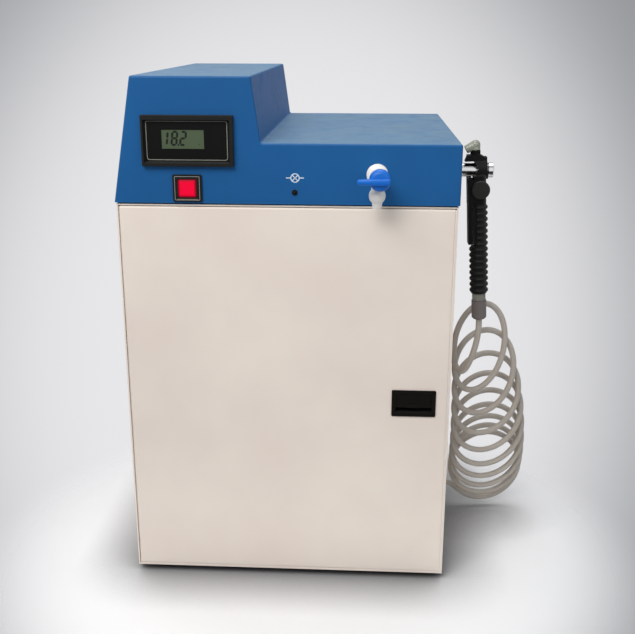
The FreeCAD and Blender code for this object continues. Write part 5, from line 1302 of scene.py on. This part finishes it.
def makeStage(values):
    mesh = bpy.data.meshes.new("floor")
    shape = bmesh.new()
    bmesh.ops.create_circle(shape, cap_ends=True, segments=96, radius=values["radius"])
    shape.to_mesh(mesh)
    shape.free()
    floor = linked("floor", mesh)
    material, tree, shader = blankMaterial("paleFloor", {"Roughness": 0.9, "Specular IOR Level": 0.1})
    # painted contact shadow: the floor's colour darkens where ambient occlusion finds the object close by
    near = tree.add("ShaderNodeAmbientOcclusion", {"Distance": values["shadeReach"]}, samples=12)
    openness = tree.math("POWER", near.outputs["AO"], values["shadePower"])
    ground = tree.blend(openness, linear(*values["floorShade"]), linear(*values["floor"]))
    tree.link(ground, shader.inputs["Base Color"])
    shifted = tree.add("ShaderNodeMapping", {"Vector": tree.objectPlace(),
                                             "Location": values["fadeMiddle"]}).outputs[0]
    away = tree.add("ShaderNodeVectorMath", {0: shifted}, operation="LENGTH").outputs["Value"]
    fade = tree.add("ShaderNodeMapRange", {"Value": away, "From Min": values["fadeFrom"],
                                           "From Max": values["fadeTo"]}, interpolation_type="SMOOTHSTEP")
    beyond = tree.add("ShaderNodeBsdfTransparent")
    mix = tree.add("ShaderNodeMixShader", {0: fade.outputs[0], 1: shader.outputs[0], 2: beyond.outputs[0]})
    tree.link(mix.outputs[0], material.node_tree.nodes["Material Output"].inputs["Surface"])
    mesh.materials.append(material)

    world = bpy.data.worlds.new("studio")
    bpy.context.scene.world = world
    world.use_nodes = True
    tree = Tree(world.node_tree)
    background = world.node_tree.nodes["Background"]
    background.inputs["Color"].default_value = (*values["light"], 1.0)
    background.inputs["Strength"].default_value = values["strength"]
    way = tree.add("ShaderNodeTexCoord").outputs["Generated"]
    parts = tree.add("ShaderNodeSeparateXYZ", {0: way}).outputs
    middleX, _, middleZ = values["middle"]
    beside = tree.math("ABSOLUTE", tree.math("SUBTRACT", parts["X"], middleX))
    kept = tree.spread(beside, *values["sideFade"], 1.0, 0.0)   # the other sides of the room stay even
    ahead = tree.spread(parts["Y"], *values["aheadBand"], 0.0, values["sideways"])
    wide = tree.times(tree.times(beside, kept), ahead)
    lowest, highest = values["rise"]
    up = tree.math("SUBTRACT", parts["Z"], middleZ)
    tall = tree.math("MAXIMUM", tree.math("MINIMUM", up, highest), lowest)
    squares = tree.math("ADD", tree.times(wide, wide), tree.times(tall, tall))
    apart = tree.math("SQRT", squares)
    share = tree.math("DIVIDE", apart, values["reach"])
    left = tree.math("EXPONENT", tree.times(tree.math("POWER", share, values["power"]), -1.0))
    fallen = tree.math("SUBTRACT", 1.0, left, clamp=True)
    shade = tree.blend(fallen, linear(*values["bright"]), linear(*values["dim"]))
    seen = tree.add("ShaderNodeBackground", {"Color": shade, "Strength": 1.0})
    lowFrom, lowTo, highFrom, highTo = values["glossBand"]
    above = tree.spread(parts["Z"], lowFrom, lowTo, 0.0, 1.0)
    below = tree.spread(parts["Z"], highFrom, highTo, 1.0, values["glossTop"])
    band = tree.blend(above, linear(*values["glossDark"]), linear(*values["glossBright"]))
    dimmed = tree.add("ShaderNodeVectorMath", {0: band, "Scale": below}, operation="SCALE")
    front = tree.spread(parts["Y"], *values["frontBand"], 0.0, 1.0)
    mirrored = tree.blend(front, shade, dimmed.outputs[0])
    gloss = tree.add("ShaderNodeBackground", {"Color": mirrored, "Strength": 1.0})
    rays = tree.add("ShaderNodeLightPath")
    either = tree.math("ADD", rays.outputs["Is Camera Ray"], rays.outputs["Is Transmission Ray"], clamp=True)
    mix = tree.add("ShaderNodeMixShader", {0: either, 1: background.outputs[0], 2: seen.outputs[0]})
    mix = tree.add("ShaderNodeMixShader", {0: rays.outputs["Is Glossy Ray"], 1: mix.outputs[0],
                                           2: gloss.outputs[0]})
    tree.link(mix.outputs[0], world.node_tree.nodes["World Output"].inputs["Surface"])


lamps = {
    "key": {"place": (-0.44, -1.20, 1.52), "aim": (0.0, -0.1, 0.36), "size": (1.0, 0.8), "power": 20.0,
            "colour": (1.0, 0.975, 0.95)},
    "top": {"place": (0.1, 0.35, 1.9), "aim": (0.0, 0.1, 0.4), "size": (1.0, 0.9), "power": 11.0,
            "colour": (0.96, 0.98, 1.0)},
    "fill": {"place": (1.3, -1.6, 0.9), "aim": (0.0, 0.0, 0.3), "size": (1.2, 1.2), "power": 4.0,
             "colour": (1.0, 0.98, 0.97)},
    "rear": {"place": (-1.4, 1.5, 1.3), "aim": (0.0, 0.0, 0.3), "size": (1.2, 1.0), "power": 9.0,
             "colour": (1.0, 0.99, 0.98)},
}


def areaLamp(name, values):
    data = bpy.data.lights.new(name, "AREA")
    data.shape = "RECTANGLE"
    data.size, data.size_y = values["size"]
    data.energy = values["power"]
    data.color = values["colour"]
    lamp = linked(name, data)
    lamp.location = values["place"]
    way = Vector(values["aim"]) - Vector(values["place"])
    lamp.rotation_euler = way.to_track_quat("-Z", "Y").to_euler()


makeStage(stage)
for name, values in lamps.items():
    areaLamp(name + "Lamp", values)
bpy.context.scene.view_settings.view_transform = "Standard"
print("stage made")
